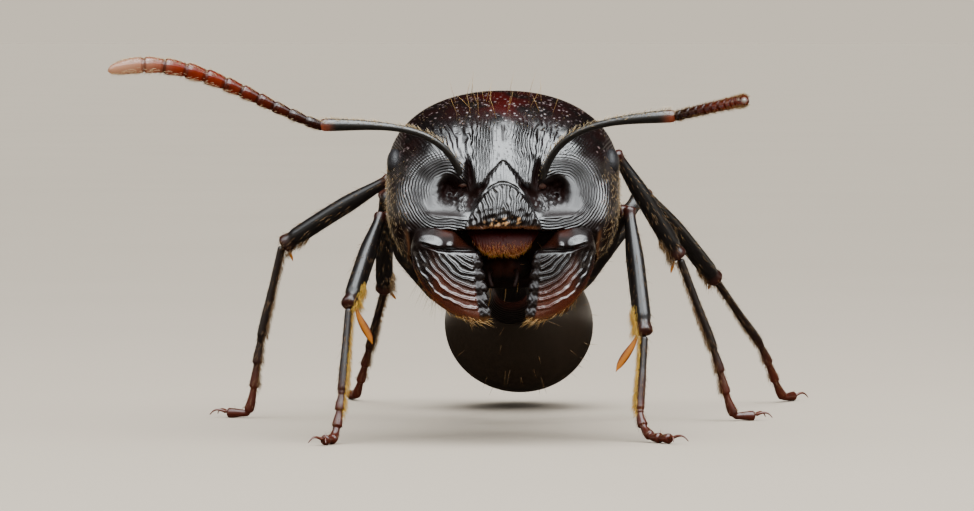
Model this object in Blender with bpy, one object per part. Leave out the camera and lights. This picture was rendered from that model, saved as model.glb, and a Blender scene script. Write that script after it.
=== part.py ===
"""A harvester ant (Messor), major worker, as a still, life-size museum model.

Sizes are in millimetres in the anatomical tables below and are scaled to metres as
the meshes are made. While it is modelled the ant stands with the floor at z = 0, faces
-Y and has its left side towards +X, with x = y = 0 below the middle of the head. The
last step slides the whole ant so that the row's origin is the bottom centre of its box.

Every limb and feeler is a chain of joints. A chain is modelled whole, as round-ended
rods from joint to joint, and parted by a thin cut in the plane that halves each bend.
The trunk, petiole, postpetiole and gaster are swollen rods parted the same way. Where a
piece grows out of another, it is cut back by a slightly inflated copy of it.
"""

import math
from dataclasses import dataclass

import bmesh
import bpy
import numpy as np
from mathutils import Matrix, Vector

MM = 0.001
CUT = 0.1                       # width of every thin cut between neighbouring pieces
FINE_CUT = 0.06                 # the cut round the small pieces of the face

# Head capsule: half-lengths in its own frame, and how square its outlines are.
HEAD_CENTRE = Vector((0.0, 0.0, 4.59))
HEAD_PITCH = math.radians(35.0)
HEAD_HALF_LENGTH = 1.875
HEAD_HALF_WIDTH = 2.0
HEAD_TOP = 1.15
HEAD_BOTTOM = 1.55
PLAN_POWER_REAR = 2.2
PLAN_POWER_FRONT = 4.6
SECTION_POWER_TOP = 2.1
SECTION_POWER_BOTTOM = 2.3
PROFILE_POWER_TOP = 2.0
PROFILE_POWER_BOTTOM = 3.8
ORAL_FACE = 1.80                # where the head is cut off flat behind the mandibles

# Eyes, on the sides of the head just in front of its middle.
EYE_PLACE = (1.86, 0.15, 0.42)  # lateral, forward, dorsal
EYE_RADII = (0.15, 0.25, 0.21)

# Mandibles: the outline of the ant's left one, seen from the front, as (x, z).
MANDIBLE_CENTRE = (0.93, 2.95)
MANDIBLE_OUTER = ((1.47, 3.60), (1.56, 3.36), (1.52, 3.02), (1.38, 2.72),
                  (1.15, 2.44), (0.87, 2.25), (0.56, 2.15))
MANDIBLE_TIP = (0.22, 2.18)
MANDIBLE_TEETH_TOP = (0.40, 3.22)
MANDIBLE_BASE = ((0.55, 3.42), (0.88, 3.60), (1.20, 3.66))
MANDIBLE_TEETH = 5
MANDIBLE_TOOTH_DEPTH = 0.05
MANDIBLE_ROOT_Y = -1.44         # depth of the mandible's base
MANDIBLE_ROOT_Z = 3.50
MANDIBLE_LEAN = 0.80            # how far it comes forward for each millimetre down
MANDIBLE_FRONT_BULGE = 0.34
MANDIBLE_BACK_BULGE = 0.26
MANDIBLE_HINGE_X = 1.56
MANDIBLE_SPREAD = {"left": 0.12, "right": 0.0}

# Labrum, the flap between the mandibles.
LABRUM_TOP = (0.66, 3.70)       # half-width and height of its upper edge
LABRUM_BOTTOM = (0.36, 3.16)
LABRUM_Y = -1.55
LABRUM_HALF_THICKNESS = 0.18

# Antennae.
FEELER_RADIUS = 0.25
SCAPE_PATHS = {
    "left": ((0.62, -1.25, 4.37), (0.80, -1.90, 5.35), (1.45, -2.20, 5.50), (2.87, -2.50, 5.53)),
    "right": ((-0.65, -1.25, 4.39), (-0.92, -1.75, 5.40), (-1.70, -1.90, 5.42), (-3.12, -1.95, 5.43)),
}
FUNICULUS_PATHS = {
    "left": ((2.87, -2.50, 5.53), (3.42, -3.25, 5.67), (4.10, -4.10, 5.78), (4.06, -5.30, 5.80)),
    "right": ((-3.12, -1.95, 5.43), (-4.10, -2.05, 5.75), (-5.20, -2.15, 6.65), (-6.46, -2.20, 6.38)),
}

# Trunk: distance along its axis from the neck, top, bottom and half-width.
TRUNK_NECK = Vector((0.0, 1.75, 4.70))
TRUNK_PITCH = math.radians(22.0)
BODY_YAW = math.radians(2.1)
TRUNK_STATIONS = (
    (-0.30, 0.22, -0.22, 0.34),
    (0.10, 0.30, -0.40, 0.42),
    (0.50, 0.72, -0.68, 0.86),
    (0.95, 0.97, -0.88, 1.14),
    (1.50, 0.97, -1.00, 1.10),
    (2.10, 0.80, -1.02, 0.88),
    (2.65, 0.52, -1.00, 0.74),
    (3.10, 0.60, -0.96, 0.78),
    (3.70, 0.42, -0.90, 0.70),
    (4.30, -0.05, -0.82, 0.46),
)
PRONOTUM_CUT = (1.55, 0.30)     # distance along the axis, and how far its plane leans
METANOTAL_CUT = (2.62, -0.10)

# Waist and gaster: joints of the axis, with the height of each node above it.
WAIST_JOINTS = (Vector((0.13, 5.45, 2.66)), Vector((0.18, 6.62, 2.27)), Vector((0.21, 7.50, 1.96)))
PETIOLE_STATIONS = (
    (-0.10, 0.16, -0.20, 0.20),
    (0.35, 0.24, -0.22, 0.22),
    (0.72, 0.74, -0.24, 0.34),
    (0.98, 0.56, -0.25, 0.34),
    (1.30, 0.20, -0.22, 0.27),
)
POSTPETIOLE_STATIONS = (
    (-0.12, 0.20, -0.22, 0.25),
    (0.22, 0.44, -0.34, 0.42),
    (0.52, 0.60, -0.42, 0.52),
    (0.82, 0.40, -0.36, 0.46),
    (1.08, 0.26, -0.28, 0.36),
)
GASTER_TIP = Vector((0.47, 11.45, 1.02))
GASTER_STATIONS = (
    (-0.10, 0.30, -0.30, 0.38),
    (0.45, 0.92, -0.78, 0.98),
    (1.10, 1.22, -1.12, 1.30),
    (1.80, 1.26, -1.24, 1.39),
    (2.50, 1.08, -1.14, 1.27),
    (3.20, 0.70, -0.80, 0.92),
    (3.75, 0.32, -0.38, 0.48),
    (4.10, 0.08, -0.14, 0.18),
)
TERGITE_CUTS = (2.15, 2.95, 3.50)

# Legs: the radii of each segment, at its start, middle and end.
COXA_RADII = (0.36, 0.40, 0.30)
FEMUR_RADII = (0.25, 0.30, 0.25)
TIBIA_RADII = (0.25, 0.26, 0.25)
TARSUS_RADIUS = 0.25


@dataclass(frozen=True)
class LegPose:
    """The joints of one leg from the trunk to the tip of the foot."""

    hip: tuple
    trochanter: tuple
    knee: tuple
    ankle: tuple
    heel: tuple
    toe: tuple
    tip: tuple


LEG_POSES = {
    "fore_left": LegPose((0.62, 2.30, 3.95), (0.63, 1.88, 2.08), (2.18, 0.75, 4.00), (2.43, -0.15, 1.80),
                         (2.35, -0.50, 0.50), (2.52, -0.78, 0.20), (2.86, -1.20, 0.15)),
    "fore_right": LegPose((-0.58, 2.30, 3.95), (-0.61, 1.88, 2.08), (-2.10, 0.75, 3.88), (-2.64, -0.62, 2.30),
                          (-2.76, -1.00, 0.85), (-2.88, -1.20, 0.25), (-3.05, -1.58, 0.15)),
    "mid_left": LegPose((0.55, 3.25, 3.35), (0.98, 3.52, 2.28), (2.00, 4.30, 4.90), (3.20, 5.00, 2.95),
                        (3.83, 5.18, 1.28), (4.18, 5.28, 0.25), (4.58, 5.42, 0.15)),
    "mid_right": LegPose((-0.45, 3.25, 3.35), (-0.90, 3.52, 2.28), (-1.99, 5.15, 4.40), (-4.00, 5.90, 3.15),
                         (-4.40, 6.05, 1.42), (-4.62, 6.15, 0.25), (-5.02, 6.32, 0.15)),
    "hind_left": LegPose((0.60, 4.42, 2.95), (0.98, 4.98, 2.02), (2.60, 6.90, 4.10), (4.00, 8.90, 2.40),
                         (4.90, 10.40, 1.10), (5.32, 11.15, 0.25), (5.58, 11.60, 0.15)),
    "hind_right": LegPose((-0.36, 4.42, 2.95), (-0.78, 4.98, 2.02), (-2.15, 7.00, 4.10), (-2.20, 9.20, 2.20),
                          (-2.52, 10.85, 1.00), (-2.76, 11.66, 0.25), (-2.90, 12.14, 0.15)),
}


# ---------------------------------------------------------------- scene and materials

def clear_scene():
    """Remove every object, so that the scene holds the ant alone."""
    for item in list(bpy.data.objects):
        bpy.data.objects.remove(item, do_unlink=True)


def new_collection(name):
    """Make a collection and link it to the scene."""
    collection = bpy.data.collections.new(name)
    bpy.context.scene.collection.children.link(collection)
    return collection


def make_material(name, colour, roughness):
    """Make a plain cuticle material."""
    material = bpy.data.materials.new(name)
    material.use_nodes = True
    shader = material.node_tree.nodes["Principled BSDF"]
    shader.inputs["Base Color"].default_value = (*colour, 1.0)
    shader.inputs["Roughness"].default_value = roughness
    return material


def face_outward(bm):
    """Turn all the faces of a closed mesh outward."""
    bmesh.ops.recalc_face_normals(bm, faces=bm.faces)
    if bm.calc_volume(signed=True) < 0.0:
        bmesh.ops.reverse_faces(bm, faces=bm.faces)


def add_object(name, bm, material, collection):
    """Turn a closed mesh in millimetres into an object in metres."""
    face_outward(bm)
    bmesh.ops.scale(bm, vec=(MM, MM, MM), verts=bm.verts)
    mesh = bpy.data.meshes.new(name)
    bm.to_mesh(mesh)
    bm.free()
    mesh.shade_smooth()
    mesh.set_sharp_from_angle(angle=math.radians(40.0))
    mesh.materials.append(material)
    item = bpy.data.objects.new(name, mesh)
    collection.objects.link(item)
    return item


# ---------------------------------------------------------------- shaping tools

def superellipse(t, power):
    """Height at t of the unit superellipse of this power, for t from -1 to 1."""
    return max(0.0, 1.0 - abs(t) ** power) ** (1.0 / power)


def signed_power(value, power):
    """Raise the size of a value to a power and keep its sign."""
    return math.copysign(abs(value) ** power, value)


def smooth_table(stations, at):
    """Read every column of a table of stations at one place, along a smooth curve."""
    table = np.array(stations)
    places = table[:, 0]
    slopes = np.gradient(table, places, axis=0)
    low = int(np.clip(np.searchsorted(places, at) - 1, 0, len(places) - 2))
    span = places[low + 1] - places[low]
    t = (np.clip(at, places[0], places[-1]) - places[low]) / span
    start, end = (2 * t**3 - 3 * t**2 + 1), (3 * t**2 - 2 * t**3)
    rise, settle = (t**3 - 2 * t**2 + t) * span, (t**3 - t**2) * span
    return start * table[low] + end * table[low + 1] + rise * slopes[low] + settle * slopes[low + 1]


def shaped_sphere(segments, rings, shape):
    """Make a UV sphere and move each point to shape(t, angle).

    t runs from -1 to 1 from pole to pole, and angle runs round the axis.
    """
    bm = bmesh.new()
    bmesh.ops.create_uvsphere(bm, u_segments=segments, v_segments=rings, radius=1.0)
    for vertex in bm.verts:
        t = max(-1.0, min(1.0, vertex.co.z))
        vertex.co = shape(t, math.atan2(vertex.co.y, vertex.co.x))
    return bm


def swollen_rod(stations, frame, segments, rings, bluntness=5.0, squareness=2.2):
    """Make a closed body along the y axis of a frame, with the sections of a table."""
    first, last = stations[0][0], stations[-1][0]

    def shape(t, angle):
        place = first + (last - first) * (t + 1.0) / 2.0
        _, top, bottom, half_width = smooth_table(stations, place)
        swell = superellipse(t, bluntness)
        lateral = half_width * swell * signed_power(math.cos(angle), 2.0 / squareness)
        height = (top - bottom) / 2.0 * swell * signed_power(math.sin(angle), 2.0 / squareness)
        return frame @ Vector((lateral, place, (top + bottom) / 2.0 + height))

    return shaped_sphere(segments, rings, shape)


def axis_frame(origin, target):
    """A frame at origin whose y axis points to target and whose z axis points up."""
    forward = (target - origin).normalized()
    lateral = forward.cross(Vector((0.0, 0.0, 1.0))).normalized()
    up = lateral.cross(forward)
    frame = Matrix((lateral, forward, up)).transposed().to_4x4()
    frame.translation = origin
    return frame


def bezier(path, t):
    """The point at t of the cubic curve with these four control points."""
    a, b, c, d = (Vector(point) for point in path)
    u = 1.0 - t
    return a * u**3 + b * 3 * u * u * t + c * 3 * u * t * t + d * t**3


def tube(points, radii):
    """Make a closed round tube through the points, as a mesh ready to be cut."""
    curve = bpy.data.curves.new("tube_path", "CURVE")
    curve.dimensions = "3D"
    curve.bevel_depth = 1.0
    curve.bevel_resolution = 2
    curve.use_fill_caps = True
    curve.twist_mode = "MINIMUM"
    spline = curve.splines.new("POLY")
    spline.points.add(len(points) - 1)
    for place, point, radius in zip(spline.points, points, radii):
        place.co = (*point, 1.0)
        place.radius = radius
    guide = bpy.data.objects.new("tube_path", curve)
    bpy.context.scene.collection.objects.link(guide)
    shaped = guide.evaluated_get(bpy.context.evaluated_depsgraph_get())
    mesh = bpy.data.meshes.new_from_object(shaped)
    bm = bmesh.new()
    bm.from_mesh(mesh)
    bmesh.ops.remove_doubles(bm, verts=bm.verts, dist=0.001)
    bpy.data.objects.remove(guide, do_unlink=True)
    bpy.data.meshes.remove(mesh)
    bpy.data.curves.remove(curve)
    return bm


def rod(start, end, radii):
    """Make a straight limb segment with round ends centred on its two joints."""
    start, end = Vector(start), Vector(end)
    along = (end - start).normalized()
    first, middle, last = radii
    points, widths = [], []
    for turn in (0.35, 0.95):
        points.append(start - along * first * math.cos(turn))
        widths.append(first * math.sin(turn))
    for share, radius in ((0.0, first), (0.5, middle), (1.0, last)):
        points.append(start.lerp(end, share))
        widths.append(radius)
    for turn in (0.95, 0.35):
        points.append(end + along * last * math.cos(turn))
        widths.append(last * math.sin(turn))
    return tube(points, widths)


def bent_rod(points, radius):
    """Make a limb of one thickness along a path, with round ends."""
    along_first = (points[1] - points[0]).normalized()
    along_last = (points[-1] - points[-2]).normalized()
    caps = [(math.cos(turn) * radius, math.sin(turn) * radius) for turn in (0.35, 0.95)]
    path = [points[0] - along_first * reach for reach, _ in caps] + list(points)
    path += [points[-1] + along_last * reach for reach, _ in reversed(caps)]
    widths = [width for _, width in caps] + [radius] * len(points) + [width for _, width in reversed(caps)]
    return tube(path, widths)


def trim(bm, point, outward, setback=CUT / 2):
    """Cut off all that lies beyond a plane, less half a thin cut, and close the face."""
    outward = Vector(outward).normalized()
    everything = list(bm.verts) + list(bm.edges) + list(bm.faces)
    cut = bmesh.ops.bisect_plane(bm, geom=everything, dist=1e-5, plane_no=outward,
                                 plane_co=Vector(point) - outward * setback, clear_outer=True)
    rim = [item for item in cut["geom_cut"] if isinstance(item, bmesh.types.BMEdge)]
    bmesh.ops.holes_fill(bm, edges=rim, sides=0)
    return bm


def bend_plane(before, joint, after):
    """The outward direction, for the earlier segment, of the plane that halves a bend."""
    incoming = (Vector(joint) - Vector(before)).normalized()
    outgoing = (Vector(after) - Vector(joint)).normalized()
    return (incoming + outgoing).normalized()


def inflated_cutter(name, bm, reach, collection):
    """Make a hidden cutter: a copy of a shape with its skin moved outward by reach."""
    copy = bm.copy()
    face_outward(copy)
    copy.normal_update()
    for vertex, outward in [(vertex, vertex.normal.copy()) for vertex in copy.verts]:
        vertex.co += outward * reach
    bmesh.ops.scale(copy, vec=(MM, MM, MM), verts=copy.verts)
    mesh = bpy.data.meshes.new(name)
    copy.to_mesh(mesh)
    copy.free()
    cutter = bpy.data.objects.new(name, mesh)
    cutter.hide_render = True
    cutter.display_type = "WIRE"
    collection.objects.link(cutter)
    return cutter


def seat_against(item, cutter):
    """Cut a piece back so that it meets its neighbour across a thin cut."""
    seat = item.modifiers.new("seat_" + cutter.name, "BOOLEAN")
    seat.operation = "DIFFERENCE"
    seat.solver = "EXACT"
    seat.object = cutter


# ---------------------------------------------------------------- head

def head_axes():
    """The head's lateral, forward and dorsal directions."""
    lateral = Vector((1.0, 0.0, 0.0))
    forward = Vector((0.0, -math.cos(HEAD_PITCH), -math.sin(HEAD_PITCH)))
    dorsal = Vector((0.0, -math.sin(HEAD_PITCH), math.cos(HEAD_PITCH)))
    return lateral, forward, dorsal


def head_place(lateral, forward, dorsal):
    """Turn head coordinates into a place in the ant's frame."""
    axes = head_axes()
    return HEAD_CENTRE + axes[0] * lateral + axes[1] * forward + axes[2] * dorsal


def mound(lateral, forward, centre, size):
    """A smooth mound of height 1 on the face, mirrored to both sides."""
    across = (abs(lateral) - centre[0]) / size[0]
    along = (forward - centre[1]) / size[1]
    return math.exp(-(across**2 + along**2) / 2.0)


def face_relief(lateral, forward):
    """How far the face stands out or sinks in: clypeus, frontal lobes and fossae."""
    relief = 0.10 * mound(lateral, forward, (0.0, 1.55), (0.50, 0.22))
    relief += 0.12 * mound(lateral, forward, (0.48, 1.02), (0.12, 0.22))
    relief -= 0.05 * mound(lateral, forward, (0.0, 1.10), (0.16, 0.16))
    relief -= 0.22 * mound(lateral, forward, (0.92, 1.22), (0.20, 0.20))
    return relief


def head_point(t, angle):
    """A point of the head capsule: t runs back to front, angle runs round its axis."""
    plan = superellipse(t, PLAN_POWER_REAR if t < 0.0 else PLAN_POWER_FRONT)
    if math.sin(angle) >= 0.0:
        power, height = SECTION_POWER_TOP, HEAD_TOP * superellipse(t, PROFILE_POWER_TOP)
    else:
        power, height = SECTION_POWER_BOTTOM, HEAD_BOTTOM * superellipse(t, PROFILE_POWER_BOTTOM)
    lateral = HEAD_HALF_WIDTH * plan * signed_power(math.cos(angle), 2.0 / power)
    dorsal = height * signed_power(math.sin(angle), 2.0 / power)
    forward = HEAD_HALF_LENGTH * t
    if dorsal > 0.0:
        dorsal += face_relief(lateral, forward) * min(1.0, dorsal / 0.3)
    return head_place(lateral, forward, dorsal)


def head_shape():
    """The whole head capsule, cut flat where the mouthparts hinge."""
    bm = shaped_sphere(36, 24, head_point)
    return trim(bm, head_place(0.0, ORAL_FACE, 0.0), head_axes()[1], 0.0)


def mandible_outline():
    """The outline of the left mandible from the front, closed, with blunt teeth."""
    rim = [Vector(point) for point in MANDIBLE_OUTER]
    tip, top = Vector(MANDIBLE_TIP), Vector(MANDIBLE_TEETH_TOP)
    for step in range(2 * MANDIBLE_TEETH + 1):
        point = tip.lerp(top, step / (2 * MANDIBLE_TEETH))
        point.x += MANDIBLE_TOOTH_DEPTH * (step % 2)
        rim.append(point)
    return rim + [Vector(point) for point in MANDIBLE_BASE]


def mandible_shape(side):
    """One mandible: a blade that swells to the front within its outline."""
    rim = mandible_outline()
    centre = Vector(MANDIBLE_CENTRE)
    across = 1.0 if side == "left" else -1.0
    facing = Vector((0.0, -1.0, MANDIBLE_LEAN)).normalized()

    def shape(t, angle):
        position = int(round(angle / (2.0 * math.pi) * len(rim))) % len(rim)
        reach = math.sqrt(1.0 - t * t)
        flat = centre.lerp(rim[position], reach)
        depth = MANDIBLE_ROOT_Y - MANDIBLE_LEAN * (MANDIBLE_ROOT_Z - flat.y)
        spread = (MANDIBLE_HINGE_X - flat.x) * MANDIBLE_SPREAD[side]
        bulge = MANDIBLE_FRONT_BULGE if t > 0.0 else MANDIBLE_BACK_BULGE
        return Vector((across * (flat.x + spread), depth, flat.y)) + facing * bulge * t

    return shaped_sphere(len(rim), 8, shape)


def labrum_shape():
    """The labrum: a flap that narrows downwards, rounded all round."""
    top_width, top = LABRUM_TOP
    bottom_width, bottom = LABRUM_BOTTOM

    def shape(t, angle):
        drop = (1.0 - signed_power(math.sin(angle), 0.5) * math.sqrt(1.0 - t * t)) / 2.0
        half_width = top_width + (bottom_width - top_width) * drop
        across = half_width * signed_power(math.cos(angle), 0.5) * math.sqrt(1.0 - t * t)
        height = top + (bottom - top) * drop
        depth = LABRUM_Y - 0.3 * drop - LABRUM_HALF_THICKNESS * t
        return Vector((across, depth, height))

    return shaped_sphere(16, 6, shape)


def eye_shape(side):
    """One oval eye, set into the side of the head."""
    across = 1.0 if side == "left" else -1.0
    lateral, forward, dorsal = EYE_PLACE

    def shape(t, angle):
        ring = math.sqrt(1.0 - t * t)
        return head_place(across * (lateral + EYE_RADII[0] * t),
                          forward + EYE_RADII[1] * ring * math.cos(angle),
                          dorsal + EYE_RADII[2] * ring * math.sin(angle))

    return shaped_sphere(12, 8, shape)


def build_head(materials, parts, cutters):
    """Add the head, eyes and mouthparts, and return the cutter that fits round the head."""
    whole_head = head_shape()
    head_cutter = inflated_cutter("head_seat", whole_head, CUT, cutters)
    fine_head_cutter = inflated_cutter("face_seat", whole_head, FINE_CUT, cutters)
    head = add_object("head", whole_head, materials["cuticle"], parts)
    labrum = add_object("labrum", labrum_shape(), materials["labrum"], parts)
    seat_against(labrum, fine_head_cutter)
    for side in ("left", "right"):
        eye = eye_shape(side)
        seat_against(head, inflated_cutter("eye_seat_" + side, eye, FINE_CUT, cutters))
        add_object("eye_" + side, eye, materials["eye"], parts)
        blade = mandible_shape(side)
        seat_against(labrum, inflated_cutter("mandible_seat_" + side, blade, FINE_CUT, cutters))
        mandible = add_object("mandible_" + side, blade, materials["mandible"], parts)
        seat_against(mandible, fine_head_cutter)
    return head_cutter


def build_antennae(materials, parts, head_cutter):
    """Add each antenna as a scape and a funiculus, parted at the elbow."""
    for side in ("left", "right"):
        scape_path, lash_path = SCAPE_PATHS[side], FUNICULUS_PATHS[side]
        elbow = Vector(scape_path[3])
        outward = bend_plane(scape_path[2], elbow, lash_path[1])
        scape = bent_rod([bezier(scape_path, step / 8) for step in range(9)], FEELER_RADIUS)
        trim(scape, elbow, outward)
        seat_against(add_object("scape_" + side, scape, materials["cuticle"], parts), head_cutter)
        lash = bent_rod([bezier(lash_path, step / 11) for step in range(12)], FEELER_RADIUS)
        trim(lash, elbow, -outward)
        add_object("funiculus_" + side, lash, materials["funiculus"], parts)


# ---------------------------------------------------------------- body and legs

def trunk_frame():
    """The frame of the trunk: its y axis runs back and down from the neck."""
    yaw = Matrix.Rotation(-BODY_YAW, 4, "Z")
    return Matrix.Translation(TRUNK_NECK) @ yaw @ Matrix.Rotation(-TRUNK_PITCH, 4, "X")


def build_trunk(materials, parts, cutters, head_cutter):
    """Add the pronotum, mesonotum and propodeum, parted by two leaning cuts."""
    frame = trunk_frame()
    turned = frame.to_3x3()
    planes = []
    for place, lean in (PRONOTUM_CUT, METANOTAL_CUT):
        planes.append((frame @ Vector((0.0, place, 0.0)), turned @ Vector((0.0, 1.0, lean))))

    def whole_trunk():
        return swollen_rod(TRUNK_STATIONS, frame, 20, 20)

    cutter_shape = whole_trunk()
    trunk_cutter = inflated_cutter("trunk_seat", cutter_shape, CUT, cutters)
    cutter_shape.free()
    front, rear = planes
    pronotum = trim(whole_trunk(), front[0], front[1])
    seat_against(add_object("pronotum", pronotum, materials["cuticle"], parts), head_cutter)
    mesonotum = trim(trim(whole_trunk(), front[0], -front[1]), rear[0], rear[1])
    add_object("mesonotum", mesonotum, materials["cuticle"], parts)
    propodeum = trim(whole_trunk(), rear[0], -rear[1])
    add_object("propodeum", propodeum, materials["cuticle"], parts)
    return trunk_cutter


def build_waist_and_gaster(materials, parts, trunk_cutter):
    """Add the petiole, the postpetiole and the gaster with its overlapping rings."""
    root, middle, end = WAIST_JOINTS
    first_bend = bend_plane(root, middle, end)
    second_bend = bend_plane(middle, end, GASTER_TIP)
    petiole = trim(swollen_rod(PETIOLE_STATIONS, axis_frame(root, middle), 14, 12), middle, first_bend)
    seat_against(add_object("petiole", petiole, materials["cuticle"], parts), trunk_cutter)
    postpetiole = swollen_rod(POSTPETIOLE_STATIONS, axis_frame(middle, end), 14, 12)
    trim(trim(postpetiole, middle, -first_bend), end, second_bend)
    add_object("postpetiole", postpetiole, materials["cuticle"], parts)

    frame = axis_frame(end, GASTER_TIP)
    along = frame.to_3x3() @ Vector((0.0, 1.0, 0.0))
    cuts = [frame @ Vector((0.0, place, 0.0)) for place in TERGITE_CUTS]
    for ring in range(len(cuts) + 1):
        piece = swollen_rod(GASTER_STATIONS, frame, 22, 18, squareness=2.0)
        if ring == 0:
            trim(piece, end, -second_bend)
        else:
            trim(piece, cuts[ring - 1], -along)
        if ring < len(cuts):
            trim(piece, cuts[ring], along)
        add_object(f"gaster_{ring + 1}", piece, materials["gaster"], parts)


def rounded_path(corners, reach, steps=3):
    """Replace each inner corner of a path by a short smooth bend."""
    path = [Vector(corners[0])]
    for before, corner, after in zip(corners, corners[1:], corners[2:]):
        corner = Vector(corner)
        start = corner + (Vector(before) - corner).normalized() * reach
        end = corner + (Vector(after) - corner).normalized() * reach
        for step in range(steps + 1):
            t = step / steps
            path.append(start * (1 - t) ** 2 + corner * 2 * t * (1 - t) + end * t**2)
    return path + [Vector(corners[-1])]


def build_leg(name, pose, materials, parts, trunk_cutter):
    """Add one leg: coxa, femur, tibia and a tarsus that ends flat on the floor."""
    hip_plane = bend_plane(pose.hip, pose.trochanter, pose.knee)
    knee_plane = bend_plane(pose.trochanter, pose.knee, pose.ankle)
    ankle_plane = bend_plane(pose.knee, pose.ankle, pose.heel)
    coxa = trim(rod(pose.hip, pose.trochanter, COXA_RADII), pose.trochanter, hip_plane)
    seat_against(add_object(f"coxa_{name}", coxa, materials["cuticle"], parts), trunk_cutter)
    femur = rod(pose.trochanter, pose.knee, FEMUR_RADII)
    trim(trim(femur, pose.trochanter, -hip_plane), pose.knee, knee_plane)
    add_object(f"femur_{name}", femur, materials["cuticle"], parts)
    tibia = rod(pose.knee, pose.ankle, TIBIA_RADII)
    trim(trim(tibia, pose.knee, -knee_plane), pose.ankle, ankle_plane)
    add_object(f"tibia_{name}", tibia, materials["cuticle"], parts)
    route = rounded_path((pose.ankle, pose.heel, pose.toe, pose.tip), 0.2)
    tarsus = bent_rod(route, TARSUS_RADIUS)
    trim(tarsus, pose.ankle, -ankle_plane)
    trim(tarsus, (0.0, 0.0, 0.0), (0.0, 0.0, -1.0), 0.0)
    add_object(f"tarsus_{name}", tarsus, materials["tarsus"], parts)


def centre_on_floor(parts, cutters):
    """Slide the ant level so that the origin is the bottom centre of its box."""
    bpy.context.view_layer.update()
    corners = np.array([corner[:] for item in parts.objects for corner in item.bound_box])
    middle = (corners.min(axis=0) + corners.max(axis=0)) / 2.0
    slide = Matrix.Translation((-middle[0], -middle[1], 0.0))
    for item in list(parts.objects) + list(cutters.objects):
        item.data.transform(slide)


def main():
    """Build the whole ant."""
    clear_scene()
    parts = new_collection("harvester_ant")
    cutters = new_collection("cutters")
    materials = {
        "cuticle": make_material("black_cuticle", (0.012, 0.008, 0.007), 0.28),
        "mandible": make_material("mandible_cuticle", (0.030, 0.010, 0.006), 0.30),
        "labrum": make_material("labrum_cuticle", (0.140, 0.025, 0.008), 0.40),
        "eye": make_material("eye_lens", (0.010, 0.009, 0.010), 0.15),
        "funiculus": make_material("funiculus_cuticle", (0.120, 0.022, 0.010), 0.45),
        "gaster": make_material("gaster_cuticle", (0.014, 0.010, 0.008), 0.22),
        "tarsus": make_material("tarsus_cuticle", (0.060, 0.018, 0.008), 0.40),
    }
    head_cutter = build_head(materials, parts, cutters)
    build_antennae(materials, parts, head_cutter)
    trunk_cutter = build_trunk(materials, parts, cutters, head_cutter)
    build_waist_and_gaster(materials, parts, trunk_cutter)
    for name, pose in LEG_POSES.items():
        build_leg(name, pose, materials, parts, trunk_cutter)
    centre_on_floor(parts, cutters)


main()
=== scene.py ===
"""The looks of a large-headed harvester ant worker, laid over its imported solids.

Sizes are in millimetres in the ant's own frame: the floor is z = 0, the ant faces -Y, its
left side is towards +X, and x = y = 0 lies below the middle of its head. AntSpace turns
them into metres in the row frame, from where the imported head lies.
"""

from __future__ import annotations

import logging
import math
from dataclasses import dataclass, field
from enum import Enum
from functools import partial
from typing import Callable, Sequence

import bpy
import numpy as np
from bpy.types import Material, Mesh, NodeSocket as Socket, Object as Piece
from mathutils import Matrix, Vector

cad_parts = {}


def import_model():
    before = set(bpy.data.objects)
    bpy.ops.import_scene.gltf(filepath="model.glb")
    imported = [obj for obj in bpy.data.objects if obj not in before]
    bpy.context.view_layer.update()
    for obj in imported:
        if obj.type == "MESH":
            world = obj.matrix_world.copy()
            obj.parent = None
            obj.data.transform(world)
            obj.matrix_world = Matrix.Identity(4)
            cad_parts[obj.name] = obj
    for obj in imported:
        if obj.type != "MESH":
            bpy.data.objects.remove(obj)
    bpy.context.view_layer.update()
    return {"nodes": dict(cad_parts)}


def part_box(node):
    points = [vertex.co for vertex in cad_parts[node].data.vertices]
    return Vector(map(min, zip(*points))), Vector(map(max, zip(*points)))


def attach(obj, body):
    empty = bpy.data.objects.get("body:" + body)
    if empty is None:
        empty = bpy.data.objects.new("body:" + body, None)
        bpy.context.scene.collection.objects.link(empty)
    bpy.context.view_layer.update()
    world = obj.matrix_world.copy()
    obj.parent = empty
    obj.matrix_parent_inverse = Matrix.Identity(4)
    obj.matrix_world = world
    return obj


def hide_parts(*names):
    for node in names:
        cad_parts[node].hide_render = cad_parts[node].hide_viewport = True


Array = np.ndarray
Colour = tuple[float, float, float]
Point = tuple[float, float, float]
Shape = Callable[[Array, Array], Array]
Stations = tuple[tuple[float, float, float, float], ...]

MM = 0.001
TURN = 2.0 * math.pi
WHITE = (1.0, 1.0, 1.0)
LOG = logging.getLogger("harvester_ant")


class Side(Enum):
    """The ant's two sides, with the sign of their x."""

    LEFT = 1.0
    RIGHT = -1.0

    @property
    def word(self) -> str:
        """The side's name as the solids spell it."""
        return self.name.lower()


# ------------ small mathematics

def ramp(low: float, high: float, value: Array) -> Array:
    """Rise smoothly from 0 at low to 1 at high, or fall where low is above high."""
    share = np.clip((value - low) / (high - low), 0.0, 1.0)
    return share * share * (3.0 - 2.0 * share)


def band(value: Array, low: float, high: float, soft: float) -> Array:
    """Be 1 from low to high and fade to 0 over a soft edge outside them."""
    return ramp(low - soft, low, value) * ramp(high + soft, high, value)


def hump(value: Array, middle: Array | float, width: float) -> Array:
    """A smooth bell of height 1, which falls to about a third at its width from the middle."""
    return np.exp(-(((value - middle) / width) ** 2))


def superellipse(t: Array, power: Array | float) -> Array:
    """Height at t of the unit superellipse of a power, for t from -1 to 1."""
    return np.maximum(0.0, 1.0 - np.abs(t) ** power) ** (1.0 / power)


def signed_power(value: Array, power: Array | float) -> Array:
    """Raise the size of each value to a power and keep its sign."""
    return np.sign(value) * np.abs(value) ** power


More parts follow.
